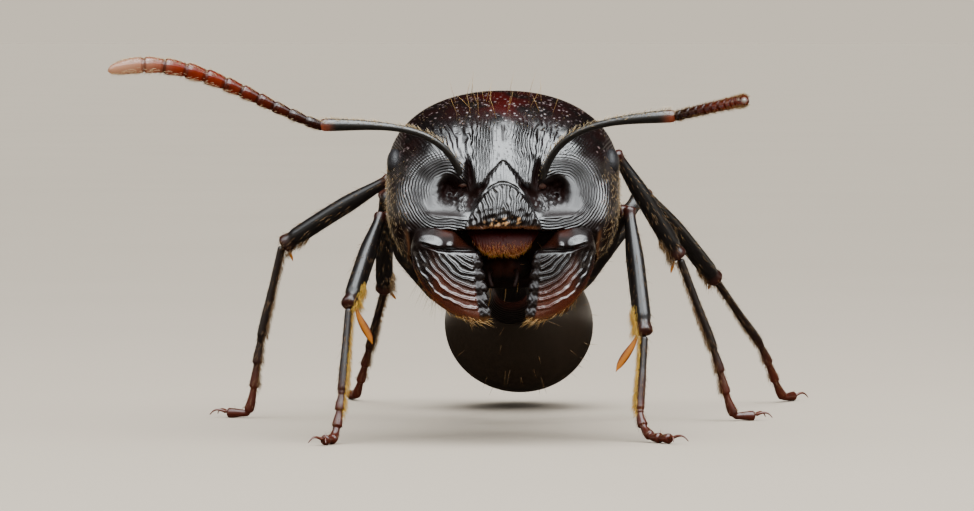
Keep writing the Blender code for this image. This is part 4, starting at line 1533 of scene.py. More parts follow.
@dataclass
class Antenna(Assembly):
    """One elbowed feeler: a long scape and a lash of eleven segments."""

    side: Side
    scape_path: tuple[Point, ...]
    lash_path: tuple[Point, ...]
    pale_tip: float
    dark: Colour
    red: Colour
    pale: Colour
    scape_radii: tuple[float, float, float] = (0.042, 0.062, 0.108)
    lash_radii: tuple[float, float] = (0.090, 0.138)
    lash_overlap: float = 0.10
    joints: tuple[float, ...] = (0.0, 0.085, 0.165, 0.240, 0.315, 0.395, 0.475, 0.565, 0.655, 0.750, 0.840,
                                 1.0)

    def scape_radius(self, distance: Array, length: float) -> Array:
        """Radius of the scape: a ball, a thin neck, then widening to the elbow.

        Args:
            distance: Distances along it.
            length: Its length.

        Returns:
            Radii.
        """
        neck, shaft, end = self.scape_radii
        radius = neck + (shaft - neck) * ramp(0.10, 0.45, distance)
        radius = radius + (end - shaft) * ramp(length * 0.55, length - 0.12, distance)
        radius = radius + 0.050 * hump(distance, 0.06, 0.06)
        return radius * dome_ends(distance, length, 0.05, 0.12)

    def lash_radius(self, distance: Array, length: float) -> Array:
        """Radius of the lash: one flaring segment after another, the last one tapering.

        Args:
            distance: Distances along it.
            length: Its length.

        Returns:
            Radii.
        """
        first, last = self.lash_radii
        place = distance / length
        grown = first + (last - first) * ramp(0.0, 0.72, place)
        last_one = len(self.joints) - 2
        index = np.clip(np.searchsorted(self.joints, place, side="right") - 1, 0, last_one)
        edges = np.array(self.joints)
        share = (place - edges[index]) / (edges[index + 1] - edges[index])
        base = 0.12 * ramp(0.12, 0.0, share)
        segment = 0.86 + 0.14 * ramp(0.0, 0.75, share) - 0.20 * ramp(0.88, 1.0, share) - base
        tip = np.sqrt(1.0 - np.clip(share, 0.0, 1.0) ** 2.6)
        segment = np.where(index == last_one, tip * (1.0 - base), segment)
        return grown * segment * dome_ends(distance, length, 0.04, 0.04)

    def build(self) -> None:
        """Make the scape, the lash and their down."""
        along = np.linspace(0.0, 1.0, 80)
        self.build_scape(bezier(self.scape_path, along))
        self.build_lash(bezier(self.lash_path, along))

    def build_scape(self, path: Array) -> None:
        """Make the scape, reddish at its root and under its elbow.

        Args:
            path: Its middle line.
        """
        scape = Limb(path)
        piece = self.shop.ball(f"scape_{self.side.word}_skin", 28, 150,
                               scape.shape(lambda distance: self.scape_radius(distance, scape.length)))
        points = self.shop.points(piece)
        root, elbow = np.array(self.scape_path[0]), np.array(self.scape_path[3])
        below = 0.30 + 0.70 * ramp(0.04, -0.03, scape.offset(points)[:, 2])
        near_root = 0.16 * ramp(0.26, 0.12, far(points, root))
        self.shop.store(piece, "tint", np.maximum(near_root, ramp(0.34, 0.08, far(points, elbow)) * below))
        finish = CuticleFinish("scape_cuticle", (0.010, 0.008, 0.006), (0.22, 0.030, 0.0015), 0.32, 0.0, 0.02,
                               0.003, 1.0, ior=1.66)
        self.shop.hand_over(piece, finish.material(), "cuticle", f"scape_{self.side.word}")
        coat = Coat(f"scape_{self.side.word}_down", PALE, 0.0030, 41)
        roots = Roots.on(self.shop, piece, 300, 42,
                         lambda points: ramp(-0.02, 0.05, scape.offset(points)[:, 2]))
        coat.grow(roots, unit(elbow - root), 0.50, (0.06, 0.13))
        coat.finish_piece(self.shop, "cuticle")

    def build_lash(self, path: Array) -> None:
        """Make the lash, dark at each joint, with painted glints just before each joint, and pale at its tip.

        Args:
            path: Its middle line, from the elbow.
        """
        lash = Limb(np.vstack([path[0] - self.lash_overlap * unit(path[1] - path[0]), path]))
        piece = self.shop.ball(f"funiculus_{self.side.word}_skin", 28, 300,
                               lash.shape(lambda distance: self.lash_radius(distance, lash.length)))
        points = self.shop.points(piece)
        nearest = np.argmin(np.linalg.norm(points[:, None] - lash.path[None], axis=2), axis=1)
        share = lash.reach[nearest] / lash.length
        inner_joints = self.joints[1:-1]
        waist = 1.0 - 0.75 * sum(hump(share, joint, 0.010) for joint in inner_joints)
        glints = sum(hump(share, joint - 0.016, 0.011) for joint in inner_joints)
        pale = ramp(1.0 - self.pale_tip, 1.0, share)
        self.shop.store(piece, "tint", ramp(0.05, 0.62, share) * waist)
        self.shop.store(piece, "pale", pale * waist)
        # Painted glints: the reflection is dimmed over the downy segments, less towards the pale tip, and
        # left full in a narrow band just before each joint.
        self.shop.store(piece, "shade", (0.85 - 0.55 * pale) * (1.0 - glints))
        finish = CuticleFinish(f"lash_{self.side.word}_cuticle", self.dark, self.red, 0.16, 0.0, 0.03, 0.002,
                               1.0, 0.1, 1.6, True, self.pale)
        self.shop.hand_over(piece, finish.material(), "funiculus", f"funiculus_{self.side.word}")
        colour = PALE if self.side is Side.RIGHT else BROWN
        coat = Coat(f"funiculus_{self.side.word}_down", colour, 0.0026, 43)
        roots = Roots.on(self.shop, piece, 1100, 44,
                         lambda points: ramp(0.04, 0.08, np.abs(lash.offset(points)[:, 2])))
        coat.grow(roots, unit(lash.path[-1] - lash.path[0]), 0.40, (0.05, 0.09))
        coat.finish_piece(self.shop, "funiculus")


# ------------ trunk, waist and gaster

@dataclass
class BodyRod:
    """A swollen body part along an axis, with sections from a table of stations."""

    origin: Point
    target: Point
    stations: Stations
    bluntness: float = 5.0
    squareness: float = 2.2

    def axes(self) -> tuple[Array, Array, Array]:
        """Find the rod's own directions.

        Returns:
            The directions across, along and up.
        """
        along = unit(np.array(self.target) - np.array(self.origin))
        across = unit(np.cross(along, (0.0, 0.0, 1.0)))
        return across, along, np.cross(across, along)

    def shape(self, start: float = 0.0, end: float = 1.0, swell: float = 0.0,
              relief: Callable[[Array, Array], Array] | None = None) -> Shape:
        """The shape for Workshop.ball, of the whole body part or of a stretch of its axis."""
        return partial(self.place, start, end, swell, relief)

    def place(self, start: float, end: float, swell: float, relief: Callable[[Array, Array], Array] | None,
              share: Array, angle: Array) -> Array:
        """Points of a stretch of the body part.

        Args:
            start: Share of the axis where the stretch starts.
            end: Share of the axis where it ends.
            swell: How far its skin stands out from the table's sections.
            relief: Extra height at each place along the axis and angle round it.
            share: Shares of the way along the stretch.
            angle: Angles round it.

        Returns:
            One point to a row.
        """
        first, last = self.stations[0][0], self.stations[-1][0]
        across, along, up = self.axes()
        t, _ = globe(share)
        whole = (start + (end - start) * (t + 1.0) / 2.0) * 2.0 - 1.0
        distance = first + (last - first) * (whole + 1.0) / 2.0
        table = smooth_table(self.stations, distance)
        cut = np.minimum(1.0, superellipse(t, 14.0)) if (start, end) != (0.0, 1.0) else 1.0
        size = superellipse(whole, self.bluntness) * cut
        extra = swell * cut
        if relief is not None:
            extra = extra + relief(distance, angle)
        half_height = (table[:, 1] - table[:, 2]) / 2.0 * size + extra
        middle = (table[:, 1] + table[:, 2]) / 2.0
        x = (table[:, 3] * size + extra) * signed_power(np.cos(angle), 2.0 / self.squareness)
        z = middle + half_height * signed_power(np.sin(angle), 2.0 / self.squareness)
        return np.array(self.origin) + across * x[:, None] + along * distance[:, None] + up * z[:, None]

    def along_axis(self, points: Array) -> Array:
        """How far points lie along the axis."""
        return (points - np.array(self.origin)) @ self.axes()[1]


BLACK = (0.0075, 0.005, 0.0045)
DARK_RED = (0.035, 0.006, 0.003)


@dataclass
class Trunk(Assembly):
    """The mesosoma: pronotum, mesonotum and propodeum under one ridged skin."""

    neck: Point = (0.0, 1.75, 4.70)
    pitch: float = math.radians(22.0)
    yaw: float = math.radians(2.1)
    stations: Stations = (
        (-0.30, 0.22, -0.22, 0.34), (0.10, 0.30, -0.40, 0.42), (0.50, 0.72, -0.68, 0.86),
        (0.95, 0.97, -0.88, 1.14), (1.50, 0.97, -1.00, 1.10), (2.10, 0.80, -1.02, 0.88),
        (2.65, 0.52, -1.00, 0.74), (3.10, 0.60, -0.96, 0.78), (3.70, 0.42, -0.90, 0.70),
        (4.30, -0.05, -0.82, 0.46))
    sutures: tuple[float, ...] = (1.55, 2.62)
    ridge_spacing: tuple[float, float] = (0.075, 0.085)

    def rod(self) -> BodyRod:
        """The trunk's axis and sections.

        Returns:
            The rod.
        """
        level = math.cos(self.pitch)
        heading = np.array([math.sin(self.yaw) * level, math.cos(self.yaw) * level, -math.sin(self.pitch)])
        return BodyRod(self.neck, tuple(np.array(self.neck) + heading), self.stations)

    def relief(self, distance: Array, angle: Array) -> Array:
        """Grooves at the sutures, and a spiracle boss on each side of the propodeum.

        Args:
            distance: Distances along the trunk.
            angle: Angles round it.

        Returns:
            Extra heights.
        """
        lean = distance - 0.12 * np.sin(angle)
        out = sum(-0.05 * hump(lean, place, 0.05) for place in self.sutures)
        side = np.abs(np.cos(angle))
        return out + 0.03 * hump(distance, 3.25, 0.09) * hump(side, 0.92, 0.10)

    def build(self) -> None:
        """Make the trunk and its bristles."""
        rod = self.rod()
        piece = self.shop.ball("trunk_skin", 160, 140, rod.shape(relief=self.relief))
        points = self.shop.points(piece)
        place = rod.along_axis(points)
        across, _, up = rod.axes()
        local = points - np.array(rod.origin)
        turn = np.arctan2(local @ up, np.abs(local @ across))
        arch = ramp(2.3, 2.8, place)
        wander = 1.1 * ripple(place, turn, 0.7, 53)
        lengthwise, crosswise = self.ridge_spacing
        phase = (turn * 1.05 / lengthwise) * (1.0 - arch) + (place / crosswise) * arch + wander
        self.shop.store(piece, "body_phase", phase)
        self.shop.store(piece, "body_mask", ramp(0.2, 0.5, place) * ramp(-1.3, -0.8, turn))
        self.shop.store(piece, "tint", sum(hump(place, suture, 0.12) for suture in self.sutures) * 0.6)
        finish = RidgedFinish("trunk_cuticle", BLACK, DARK_RED)
        self.shop.hand_over(piece, finish.material(), "cuticle", "pronotum", "mesonotum", "propodeum")
        coat = Coat("trunk_bristles", TAN, 0.0036, 51)

        def back(points: Array) -> Array:
            """Only on the upper side."""
            return ramp(-0.2, 0.5, (points - np.array(rod.origin)) @ up)

        coat.grow(Roots.on(self.shop, piece, 130, 52, back), (0.0, 0.6, 0.2), 0.75, (0.22, 0.42), 0.2)
        coat.finish_piece(self.shop, "cuticle")


@dataclass
class Waist(Assembly):
    """The petiole and postpetiole, the two knots behind the trunk."""

    joints: tuple[Point, Point, Point] = ((0.13, 5.45, 2.66), (0.18, 6.62, 2.27), (0.21, 7.50, 1.96))
    petiole: Stations = (
        (-0.10, 0.16, -0.20, 0.20), (0.35, 0.24, -0.22, 0.22), (0.72, 0.74, -0.24, 0.34),
        (0.98, 0.56, -0.25, 0.34), (1.30, 0.20, -0.22, 0.27))
    postpetiole: Stations = (
        (-0.12, 0.20, -0.22, 0.25), (0.22, 0.44, -0.34, 0.42), (0.52, 0.60, -0.42, 0.52),
        (0.82, 0.40, -0.36, 0.46), (1.08, 0.26, -0.28, 0.36))
    groove_spacing: float = 0.06

    def build(self) -> None:
        """Make both knots and their bristles."""
        coat = Coat("waist_bristles", TAN, 0.0036, 61)
        finish = RidgedFinish("waist_cuticle", BLACK, DARK_RED).material()
        tables = (("petiole", self.petiole), ("postpetiole", self.postpetiole))
        for index, (name, stations) in enumerate(tables):
            rod = BodyRod(self.joints[index], self.joints[index + 1], stations)
            piece = self.shop.ball(f"{name}_skin", 80, 70, rod.shape())
            place = rod.along_axis(self.shop.points(piece))
            self.shop.store(piece, "body_phase", place / self.groove_spacing)
            self.shop.store(piece, "body_mask", 0.7)
            self.shop.store(piece, "tint", ramp(0.2, -0.1, place) + ramp(0.95, 1.15, place))
            self.shop.hand_over(piece, finish, "cuticle", name)
            coat.grow(Roots.on(self.shop, piece, 24, 62 + index, lambda points: ramp(2.4, 2.8, points[:, 2])),
                      (0.0, 0.5, 0.3), 0.7, (0.2, 0.35), 0.2)
        coat.finish_piece(self.shop, "cuticle")


@dataclass
class Gaster(Assembly):
    """The shining gaster, with overlapping plates."""

    front: Point = (0.21, 7.50, 1.96)
    tip: Point = (0.47, 11.45, 1.02)
    stations: Stations = (
        (-0.10, 0.30, -0.30, 0.38), (0.45, 0.92, -0.78, 0.98), (1.10, 1.22, -1.12, 1.30),
        (1.80, 1.26, -1.24, 1.39), (2.50, 1.08, -1.14, 1.27), (3.20, 0.70, -0.80, 0.92),
        (3.75, 0.32, -0.38, 0.48), (4.10, 0.08, -0.14, 0.18))
    edges: tuple[float, ...] = (0.0, 2.15, 2.95, 3.50, 4.10)
    hairs: tuple[int, ...] = (70, 46, 30, 24)

    def build(self) -> None:
        """Make the plates and their bristles."""
        rod = BodyRod(self.front, self.tip, self.stations, squareness=2.0)
        span = self.stations[-1][0] - self.stations[0][0]
        finish = CuticleFinish("gaster_cuticle", (0.021, 0.0135, 0.0085), (0.045, 0.012, 0.005), 0.34, 0.0,
                               0.05, 0.0012, 0.45)
        coat = Coat("gaster_bristles", BROWN, 0.0036, 71)
        for index in range(4):
            start = 0.0 if index == 0 else (self.edges[index] - 0.18 + 0.10) / span
            end = 1.0 if index == 3 else (self.edges[index + 1] + 0.12) / span
            swell = -0.012 * index - 0.006
            piece = self.shop.ball(f"gaster_{index + 1}_plate", 140, 70, rod.shape(start, end, swell))
            place = rod.along_axis(self.shop.points(piece))
            self.shop.store(piece, "tint", ramp(self.edges[index + 1] - 0.16, self.edges[index + 1], place))
            self.shop.hand_over(piece, finish.material(), "gaster", f"gaster_{index + 1}")
            roots = Roots.on(self.shop, piece, self.hairs[index], 72 + index)
            coat.grow(roots, (0.0, 1.0, -0.1), 0.45, (0.15, 0.32), 0.2)
        coat.finish_piece(self.shop, "gaster")


# ------------ legs

@dataclass
class Leg(Assembly):
    """One leg: coxa, trochanter, femur, tibia with its spur, and five tarsal segments."""

    name: str
    hip: Point
    trochanter: Point
    knee: Point
    ankle: Point
    heel: Point
    toe: Point
    tip: Point
    seed: int = 0
    floor_height: float = 0.091

    def straight(self, start: Point, end: Point, bow: float = 0.0) -> Limb:
        """Lay a limb between two joints, bowed upward in its middle.

        Args:
            start: The first joint.
            end: The second joint.
            bow: How far the middle is lifted.

        Returns:
            The limb.
        """
        along = np.linspace(0.0, 1.0, 40)[:, None]
        path = np.array(start) * (1.0 - along) + np.array(end) * along
        path[:, 2] += bow * np.sin(along[:, 0] * math.pi)
        return Limb(path)

    def build(self) -> None:
        """Make the whole leg."""
        fore = self.name.startswith("fore")
        coat = Coat(f"leg_{self.name}_bristles", BROWN, 0.0028, 81 + self.seed)
        brush = Coat(f"leg_{self.name}_brush", BRUSH if fore else BROWN, 0.0024, 86 + self.seed)
        finish = CuticleFinish(f"leg_{self.name}_cuticle", (0.008, 0.006, 0.0055), (0.045, 0.006, 0.002),
                               0.30, 0.0, specular=0.7).material()
        self.build_coxa(finish)
        self.build_femur(finish, coat)
        self.build_tibia(finish, coat, brush)
        self.build_spur(fore)
        self.build_tarsus(coat, brush)
        coat.finish_piece(self.shop, "tarsus")
        brush.finish_piece(self.shop, "tarsus")

    def build_coxa(self, finish: Material) -> None:
        """Make the coxa, which tapers to the trochanter.

        Args:
            finish: The material.
        """
        limb = self.straight(self.hip, self.trochanter)
        piece = self.shop.ball(f"coxa_{self.name}_skin", 40, 40, limb.shape(
            lambda distance: (0.34 - 0.16 * ramp(limb.length * 0.35, limb.length, distance))
            * dome_ends(distance, limb.length, 0.30, 0.16)))
        points = self.shop.points(piece)
        self.shop.store(piece, "tint", ramp(0.35, 0.10, far(points, self.trochanter)))
        self.shop.hand_over(piece, finish, "cuticle", f"coxa_{self.name}")

    def build_femur(self, finish: Material, coat: Coat) -> None:
        """Make the trochanter and femur: a thin start, a swollen middle and a rounded knee.

        Args:
            finish: The material.
            coat: The leg's bristles.
        """
        bow, swell = (-0.07, 0.170) if self.name.startswith("fore") else (0.05, 0.125)
        limb = self.straight(self.trochanter, self.knee, bow)
        length = limb.length

        piece = self.shop.ball(f"femur_{self.name}_skin", 36, 80, limb.shape(
            lambda distance: (0.125 + 0.055 * hump(distance, 0.14, 0.12)
                              + swell * band(distance / length, 0.32, 0.64, 0.26)
                              + 0.035 * hump(distance, length - 0.16, 0.16))
            * dome_ends(distance, length, 0.12, 0.13)))
        points = self.shop.points(piece)
        ends = np.maximum(ramp(0.50, 0.20, far(points, self.trochanter)),
                          ramp(0.28, 0.10, far(points, self.knee)))
        self.shop.store(piece, "tint", ends)
        self.shop.hand_over(piece, finish, "cuticle", f"femur_{self.name}")
        lay = unit(np.array(self.knee) - np.array(self.trochanter))
        coat.grow(Roots.on(self.shop, piece, 70, 91 + self.seed), lay, 0.40, (0.08, 0.18))

    def build_tibia(self, finish: Material, coat: Coat, brush: Coat) -> None:
        """Make the tibia with the brush at its inner end.

        Args:
            finish: The material.
            coat: The leg's bristles.
            brush: The leg's brush.
        """
        limb = self.straight(self.knee, self.ankle, 0.03)
        length = limb.length

        piece = self.shop.ball(f"tibia_{self.name}_skin", 32, 70, limb.shape(
            lambda distance: (0.100 + 0.060 * ramp(0.10, length * 0.45, distance)
                              + 0.03 * hump(distance, 0.05, 0.08)
                              - 0.022 * hump(distance, length - 0.24, 0.07)
                              + 0.006 * hump(distance, length - 0.10, 0.06))
            * dome_ends(distance, length, 0.09, 0.08)))
        points = self.shop.points(piece)
        ends = np.maximum(ramp(0.30, 0.08, far(points, self.knee)), ramp(0.34, 0.10, far(points, self.ankle)))
        self.shop.store(piece, "tint", ends)
        self.shop.hand_over(piece, finish, "cuticle", f"tibia_{self.name}")
        lay = unit(np.array(self.ankle) - np.array(self.knee))
        coat.grow(Roots.on(self.shop, piece, 150, 101 + self.seed), lay, 0.36, (0.07, 0.14))

        def inner_end(points: Array) -> Array:
            """Only near the ankle, on the side towards the body."""
            near = band(far(points, limb.path[-1]), 0.12, 0.50, 0.10)
            return near * ramp(0.08, 0.12, -limb.offset(points)[:, 0] * np.sign(self.ankle[0]))

        roots = Roots.on(self.shop, piece, 420, 131 + self.seed, inner_end)
        brush.grow(roots, lay, 0.34, (0.12, 0.22), scatter=0.07)

    def build_spur(self, fore: bool) -> None:
        """Make the spur below the ankle: a golden comb on a fore leg, a short spine behind.

        Args:
            fore: Whether this is a fore leg.
        """
        ankle = np.array(self.ankle)
        down = unit(np.array(self.heel) - ankle)
        inward = unit(np.array([-np.sign(ankle[0]), -0.25, 0.0]))
        reach = 0.66 if fore else 0.32
        start = ankle + inward * 0.09 - down * 0.02
        path = [tuple(start + inward * reach * aside + down * reach * below)
                for aside, below in ((0.06, 0.0), (0.10, 0.30), (0.42, 0.60), (0.58, 1.0))]
        width, flat = (0.070, 0.28) if fore else (0.026, 1.0)
        limb = Limb(bezier(path, np.linspace(0, 1, 30)), flat)
        facing = unit(inward - limb.along * (limb.along @ inward)[:, None])
        limb.side, limb.other = facing, np.cross(limb.along, facing)

        def radius(distance: Array) -> Array:
            """Half width of the spur.

            Args:
                distance: Distances along it.

            Returns:
                Half widths.
            """
            share = distance / limb.length
            size = 0.30 + 0.70 * np.sin(np.clip(share * 1.05, 0.0, 1.0) ** 1.3 * math.pi) ** 0.9
            size = width * size * dome_ends(distance, limb.length, 0.03, 0.05)
            return size * ramp(1.02, 0.80, share) ** 0.5

        piece = self.shop.ball(f"spur_{self.name}", 20, 36, limb.shape(radius))
        edge = np.linalg.norm(limb.offset(self.shop.points(piece)), axis=1)
        self.shop.store(piece, "tint", ramp(0.062, 0.030, edge))
        finish = CuticleFinish(f"spur_{self.name}_cuticle", (0.120, 0.026, 0.002), (0.330, 0.110, 0.010),
                               0.40, 0.0, 0.03, 0.001, 0.12)
        self.shop.hand_over(piece, finish.material(), "tarsus")

    def build_tarsus(self, coat: Coat, brush: Coat) -> None:
        """Make the long basitarsus, four short segments on the floor, and two claws.

        Args:
            coat: The leg's bristles.
            brush: The leg's brush.
        """
        floor = self.floor_height
        ankle, heel = np.array(self.ankle), np.array(self.heel)
        toe = np.array([self.toe[0], self.toe[1], max(floor + 0.03, self.toe[2] - 0.10)])
        tip = np.array([self.tip[0], self.tip[1], floor])
        corners = np.array([ankle, ankle * 0.5 + heel * 0.5, heel, toe, tip])
        table = np.column_stack([(0.0, 0.5, 1.0, 1.6, 2.2), corners])
        along = np.linspace(0.0, 2.2, 120)
        path = smooth_table(table, along)[:, 1:]
        path[:, 2] = np.maximum(path[:, 2], floor)
        limb = Limb(path)
        first = float(np.interp(1.0, along, limb.reach))
        rest = (limb.length - first) / 4.0
        edges = [0.0, first] + [first + rest * (index + 1) for index in range(4)]

        def radius(distance: Array) -> Array:
            """Radius of the foot, which widens along each segment.

            Args:
                distance: Distances along it.

            Returns:
                Radii.
            """
            size = np.zeros_like(distance)
            for start, end in zip(edges, edges[1:]):
                inside = (distance >= start) & (distance <= end)
                share = (distance - start) / (end - start)
                bead = 0.056 + 0.030 * ramp(0.0, 0.9, share) - 0.030 * ramp(0.93, 1.0, share)
                bead = np.maximum(bead, 0.070) if start == 0.0 else bead + 0.004
                size = np.where(inside, bead, size)
            return size * dome_ends(distance, limb.length, 0.05, 0.05)

        piece = self.shop.ball(f"tarsus_{self.name}_skin", 24, 170, limb.shape(radius))
        self.shop.store(piece, "tint", ramp(1.4, 0.4, self.shop.points(piece)[:, 2]))
        finish = CuticleFinish(f"tarsus_{self.name}_cuticle", (0.012, 0.006, 0.0045), (0.070, 0.010, 0.003),
                               0.30, 0.0, specular=0.7)
        self.shop.hand_over(piece, finish.material(), "tarsus", f"tarsus_{self.name}")
        down = unit(heel - ankle)
        roots = Roots.on(self.shop, piece, 200, 111 + self.seed,
                         lambda points: ramp(0.13, 0.18, points[:, 2]))
        coat.grow(roots, down, 0.30, (0.06, 0.12))

        def inner(points: Array) -> Array:
            """Only on the side towards the body, above the floor."""
            inward = -limb.offset(points)[:, 0] * np.sign(ankle[0])
            return ramp(0.040, 0.055, inward) * ramp(0.40, 0.60, points[:, 2])

        roots = Roots.on(self.shop, piece, 800, 121 + self.seed, inner)
        brush.grow(roots, down, 0.45, (0.09, 0.13), scatter=0.07)
        self.build_claws(tip, unit((tip - toe) * np.array([1.0, 1.0, 0.0])))

    def build_claws(self, tip: Array, ahead: Array) -> None:
        """Make the pair of curved claws at the end of the foot.

        Args:
            tip: The end of the foot.
            ahead: The direction in which the foot points.
        """
        across = np.cross(ahead, (0.0, 0.0, 1.0))
        for side, sign in (("inner", -1.0), ("outer", 1.0)):
            start = tip + across * sign * 0.02 + np.array([0.0, 0.0, 0.01])
            middle = start + ahead * 0.13 + across * sign * 0.09 + np.array([0.0, 0.0, 0.07])
            end = start + ahead * 0.27 + across * sign * 0.15 + np.array([0.0, 0.0, -0.050])
            corners = (tuple(start), tuple(middle), tuple(middle + ahead * 0.08), tuple(end))
            limb = Limb(bezier(corners, np.linspace(0, 1, 24)))

            piece = self.shop.ball(f"claw_{self.name}_{side}", 12, 24, limb.shape(
                lambda distance: 0.030 * (1.0 - 0.75 * distance / limb.length)
                * dome_ends(distance, limb.length, 0.03, 0.02)))
            self.shop.store(piece, "tint", 1.0)
            finish = CuticleFinish(f"claw_{self.name}_{side}_cuticle", (0.045, 0.008, 0.003),
                                   (0.11, 0.020, 0.005))
            self.shop.hand_over(piece, finish.material(), "tarsus")


# ------------ studio

@dataclass
class Studio:
    """A plain pale floor to the horizon, a soft wrap-round light and the camera."""

    space: AntSpace
    aim: Point = (-0.276, 0.0, 3.181)
    distance: float = 110.0
    elevation: float = math.radians(2.0)
    lens: float = 235.8
    floor_colour: Colour = (0.52, 0.44, 0.35)
    horizon: Colour = (0.83, 0.738, 0.603)
    head: Point = (0.0, 0.0, 4.3)
    daylight: Colour = (0.93, 0.975, 1.0)

    def build_floor(self) -> None:
        """Lay the floor."""
        bpy.ops.object.select_all(action="DESELECT")
        bpy.ops.mesh.primitive_plane_add(size=8.0, location=(0.0, 0.0, 0.0))
        floor = bpy.context.object
        floor.name = "studio_floor"
        sketch = NodeSketch("studio_floor_paper")
        deep = tuple(channel * 0.92 for channel in self.floor_colour)
        sketch.set(Base_Color=sketch.blend(sketch.noise(14.0, 3.0), self.floor_colour, deep), Roughness=0.9,
                   Specular_IOR_Level=0.2)
        floor.data.materials.append(sketch.material)
        floor.visible_glossy = False

    def add_panel(self, name: str, elevation: float, distance: float, size: tuple[float, float],
                  power: float, azimuth: float = 0.0) -> None:
        """Hang one soft light panel that faces the head.

        Args:
            name: The light's name.
            elevation: Degrees above the floor.
            distance: Millimetres from the head.
            size: Width and height in millimetres.
            power: Watts.
            azimuth: Degrees round from the camera's side, to the ant's left.
        """
        turn, rise = math.radians(azimuth), math.radians(elevation)
        level = math.cos(rise)
        away = np.array([math.sin(turn) * level, -math.cos(turn) * level, math.sin(rise)])
        target = Vector(self.space.to_row(np.array(self.head)))
        bpy.ops.object.light_add(type="AREA", location=target + Vector(away * distance * MM))
        lamp = bpy.context.object
        lamp.name = name
        lamp.data.shape = "RECTANGLE"
        lamp.data.size = size[0] * MM
        lamp.data.size_y = size[1] * MM
        lamp.data.energy = power
        lamp.data.color = self.daylight
        lamp.rotation_euler = (target - lamp.location).to_track_quat("-Z", "Y").to_euler()

    def build_lights(self) -> None:
        """Hang the lights: a broad soft sky overhead and three dim panels."""
        for name, spread, height, energy in (("soft_sky", 84.0, 66.0, 3.3), ("soft_key", 50.0, 76.0, 2.9)):
            bpy.ops.object.light_add(type="SUN", location=(0.0, -0.02, 0.2))
            sky = bpy.context.object
            sky.name = name
            sky.data.angle = math.radians(spread)
            sky.data.energy = energy
            sky.data.color = self.daylight
            turn, rise = math.radians(10.0), math.radians(height)
            level = math.cos(rise)
            down = Vector((-math.sin(turn) * level, math.cos(turn) * level, -math.sin(rise)))
            sky.rotation_euler = down.to_track_quat("-Z", "Y").to_euler()
        self.add_panel("panel_front", 40.0, 66.0, (80.0, 26.0), 0.016)
        self.add_panel("panel_left", 36.0, 60.0, (40.0, 34.0), 0.026, 62.0)
        self.add_panel("panel_right", 36.0, 60.0, (40.0, 34.0), 0.010, -72.0)

    def build_world(self) -> None:
        """Surround the studio with a dark room that is pale along the horizon."""
        world = bpy.data.worlds.new("studio_world")
        bpy.context.scene.world = world
        world.use_nodes = True
        nodes, links = world.node_tree.nodes, world.node_tree.links
        height = nodes.new("ShaderNodeSeparateXYZ")
        links.new(nodes.new("ShaderNodeTexCoord").outputs["Generated"], height.inputs["Vector"])
        lift = nodes.new("ShaderNodeMath")
        lift.inputs[1].default_value = 0.1
        links.new(height.outputs["Z"], lift.inputs[0])
        fade = nodes.new("ShaderNodeValToRGB")
        stops = fade.color_ramp.elements
        for place, colour in ((0.13, self.horizon), (0.095, self.horizon)):
            stops.new(place).color = (*colour, 1.0)
        stops[0].position, stops[0].color = 0.06, (0.020, 0.015, 0.011, 1.0)
        stops[-1].position, stops[-1].color = 0.27, (0.014, 0.010, 0.008, 1.0)
        links.new(lift.outputs["Value"], fade.inputs["Fac"])
        links.new(fade.outputs["Color"], nodes["Background"].inputs["Color"])

    def build_camera(self) -> None:
        """Set the camera low in front of the ant, looking it in the face."""
        target = Vector(self.space.to_row(np.array(self.aim)))
        away = Vector((0.0, -math.cos(self.elevation), math.sin(self.elevation)))
        bpy.ops.object.camera_add(location=target + away * self.distance * MM)
        camera = bpy.context.object
        camera.name = "camera"
        camera.rotation_euler = (target - camera.location).to_track_quat("-Z", "Y").to_euler()
        camera.data.sensor_width = 36.0
        camera.data.lens = self.lens
        camera.data.clip_start = 0.001
        camera.data.clip_end = 10.0
        bpy.context.scene.camera = camera

    def build(self) -> None:
        """Make the whole studio."""
        self.build_floor()
        self.build_lights()
        self.build_world()
        self.build_camera()


# ------------ the whole ant

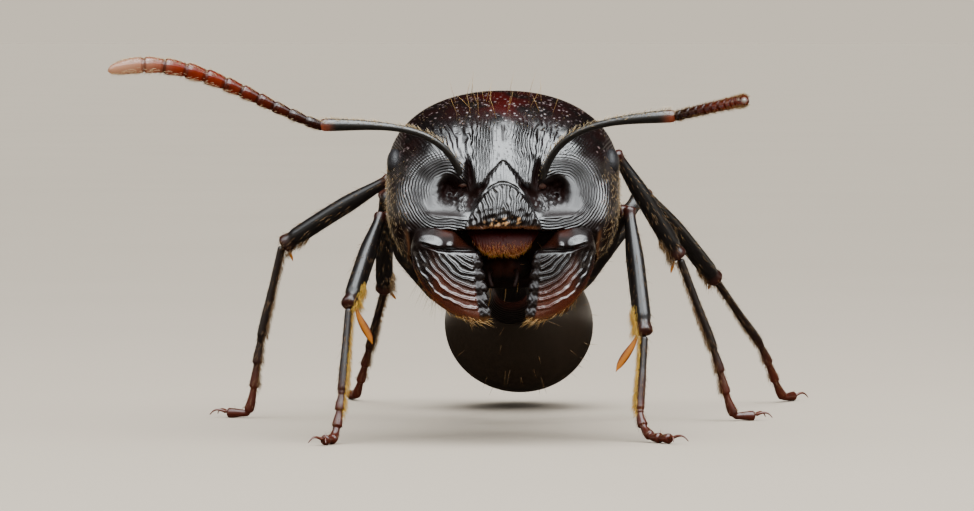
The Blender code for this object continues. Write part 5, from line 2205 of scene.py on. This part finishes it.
def legs(shop: Workshop) -> list[Leg]:
    """Place the six legs in the ant's stance.

    Args:
        shop: The workshop that makes them.

    Returns:
        The legs.
    """
    rows = (
        ("fore_left", (0.62, 2.30, 3.95), (0.63, 1.88, 2.08), (2.18, 0.75, 4.00), (2.43, -0.15, 1.80),
         (2.35, -0.50, 0.50), (2.52, -0.78, 0.20), (2.86, -1.20, 0.15)),
        ("fore_right", (-0.58, 2.30, 3.95), (-0.61, 1.88, 2.08), (-2.10, 0.75, 3.88), (-2.64, -0.62, 2.30),
         (-2.76, -1.00, 0.85), (-2.88, -1.20, 0.25), (-3.05, -1.58, 0.15)),
        ("mid_left", (0.55, 3.25, 3.35), (0.98, 3.52, 2.28), (2.00, 4.30, 4.90), (3.20, 5.00, 2.95),
         (3.83, 5.18, 1.28), (4.18, 5.28, 0.25), (4.58, 5.42, 0.15)),
        ("mid_right", (-0.45, 3.25, 3.35), (-0.90, 3.52, 2.28), (-1.99, 5.15, 4.40), (-4.00, 5.90, 3.15),
         (-4.40, 6.05, 1.42), (-4.62, 6.15, 0.25), (-5.02, 6.32, 0.15)),
        ("hind_left", (0.60, 4.42, 2.95), (0.98, 4.98, 2.02), (2.60, 6.90, 4.10), (4.00, 8.90, 2.40),
         (4.90, 10.40, 1.10), (5.32, 11.15, 0.25), (5.58, 11.60, 0.15)),
        ("hind_right", (-0.36, 4.42, 2.95), (-0.78, 4.98, 2.02), (-2.15, 7.00, 4.10), (-2.20, 9.20, 2.20),
         (-2.52, 10.85, 1.00), (-2.76, 11.66, 0.25), (-2.90, 12.14, 0.15)),
    )
    return [Leg(shop, *row, seed=seed) for seed, row in enumerate(rows)]


def antennae(shop: Workshop) -> list[Antenna]:
    """Place both feelers: the ant's right one held out flat, the left one reaching forward.

    Args:
        shop: The workshop that makes them.

    Returns:
        The feelers.
    """
    return [
        Antenna(shop, Side.LEFT,
                ((0.64, -1.22, 4.37), (0.80, -1.90, 5.37), (1.45, -2.20, 5.55), (2.93, -2.50, 5.62)),
                ((2.93, -2.50, 5.62), (3.44, -3.25, 5.77), (4.02, -4.10, 5.90), (3.94, -5.30, 5.91)),
                0.03, (0.014, 0.005, 0.003), (0.120, 0.0090, 0.0012), (0.26, 0.23, 0.21),
                lash_radii=(0.088, 0.098)),
        Antenna(shop, Side.RIGHT,
                ((-0.66, -1.22, 4.39), (-0.92, -1.75, 5.44), (-1.70, -1.90, 5.47), (-3.13, -1.95, 5.46)),
                ((-3.13, -1.95, 5.46), (-4.15, -2.05, 5.80), (-5.40, -2.15, 6.80), (-6.68, -2.20, 6.37)),
                0.34, (0.016, 0.0040, 0.0020), (0.150, 0.0120, 0.0020), (0.42, 0.215, 0.130)),
    ]


def main() -> None:
    """Build the ant and the studio round it."""
    logging.basicConfig(level=logging.INFO, format="%(name)s %(message)s")
    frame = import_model()
    LOG.info("%d solids to dress", len(frame["nodes"]))
    form = HeadForm()
    space = AntSpace(form)
    shop = Workshop(space)
    HeadCapsule(shop, form).build()
    Mandible(shop, Side.LEFT, 0.12).build()
    Mandible(shop, Side.RIGHT, 0.0).build()
    Labrum(shop).build()
    Mouthparts(shop).build()
    for side in Side:
        Eye(shop, side, form).build()
    for antenna in antennae(shop):
        antenna.build()
    Trunk(shop).build()
    Waist(shop).build()
    Gaster(shop).build()
    for leg in legs(shop):
        leg.build()
    Studio(space).build()


if __name__ == "__main__":
    main()
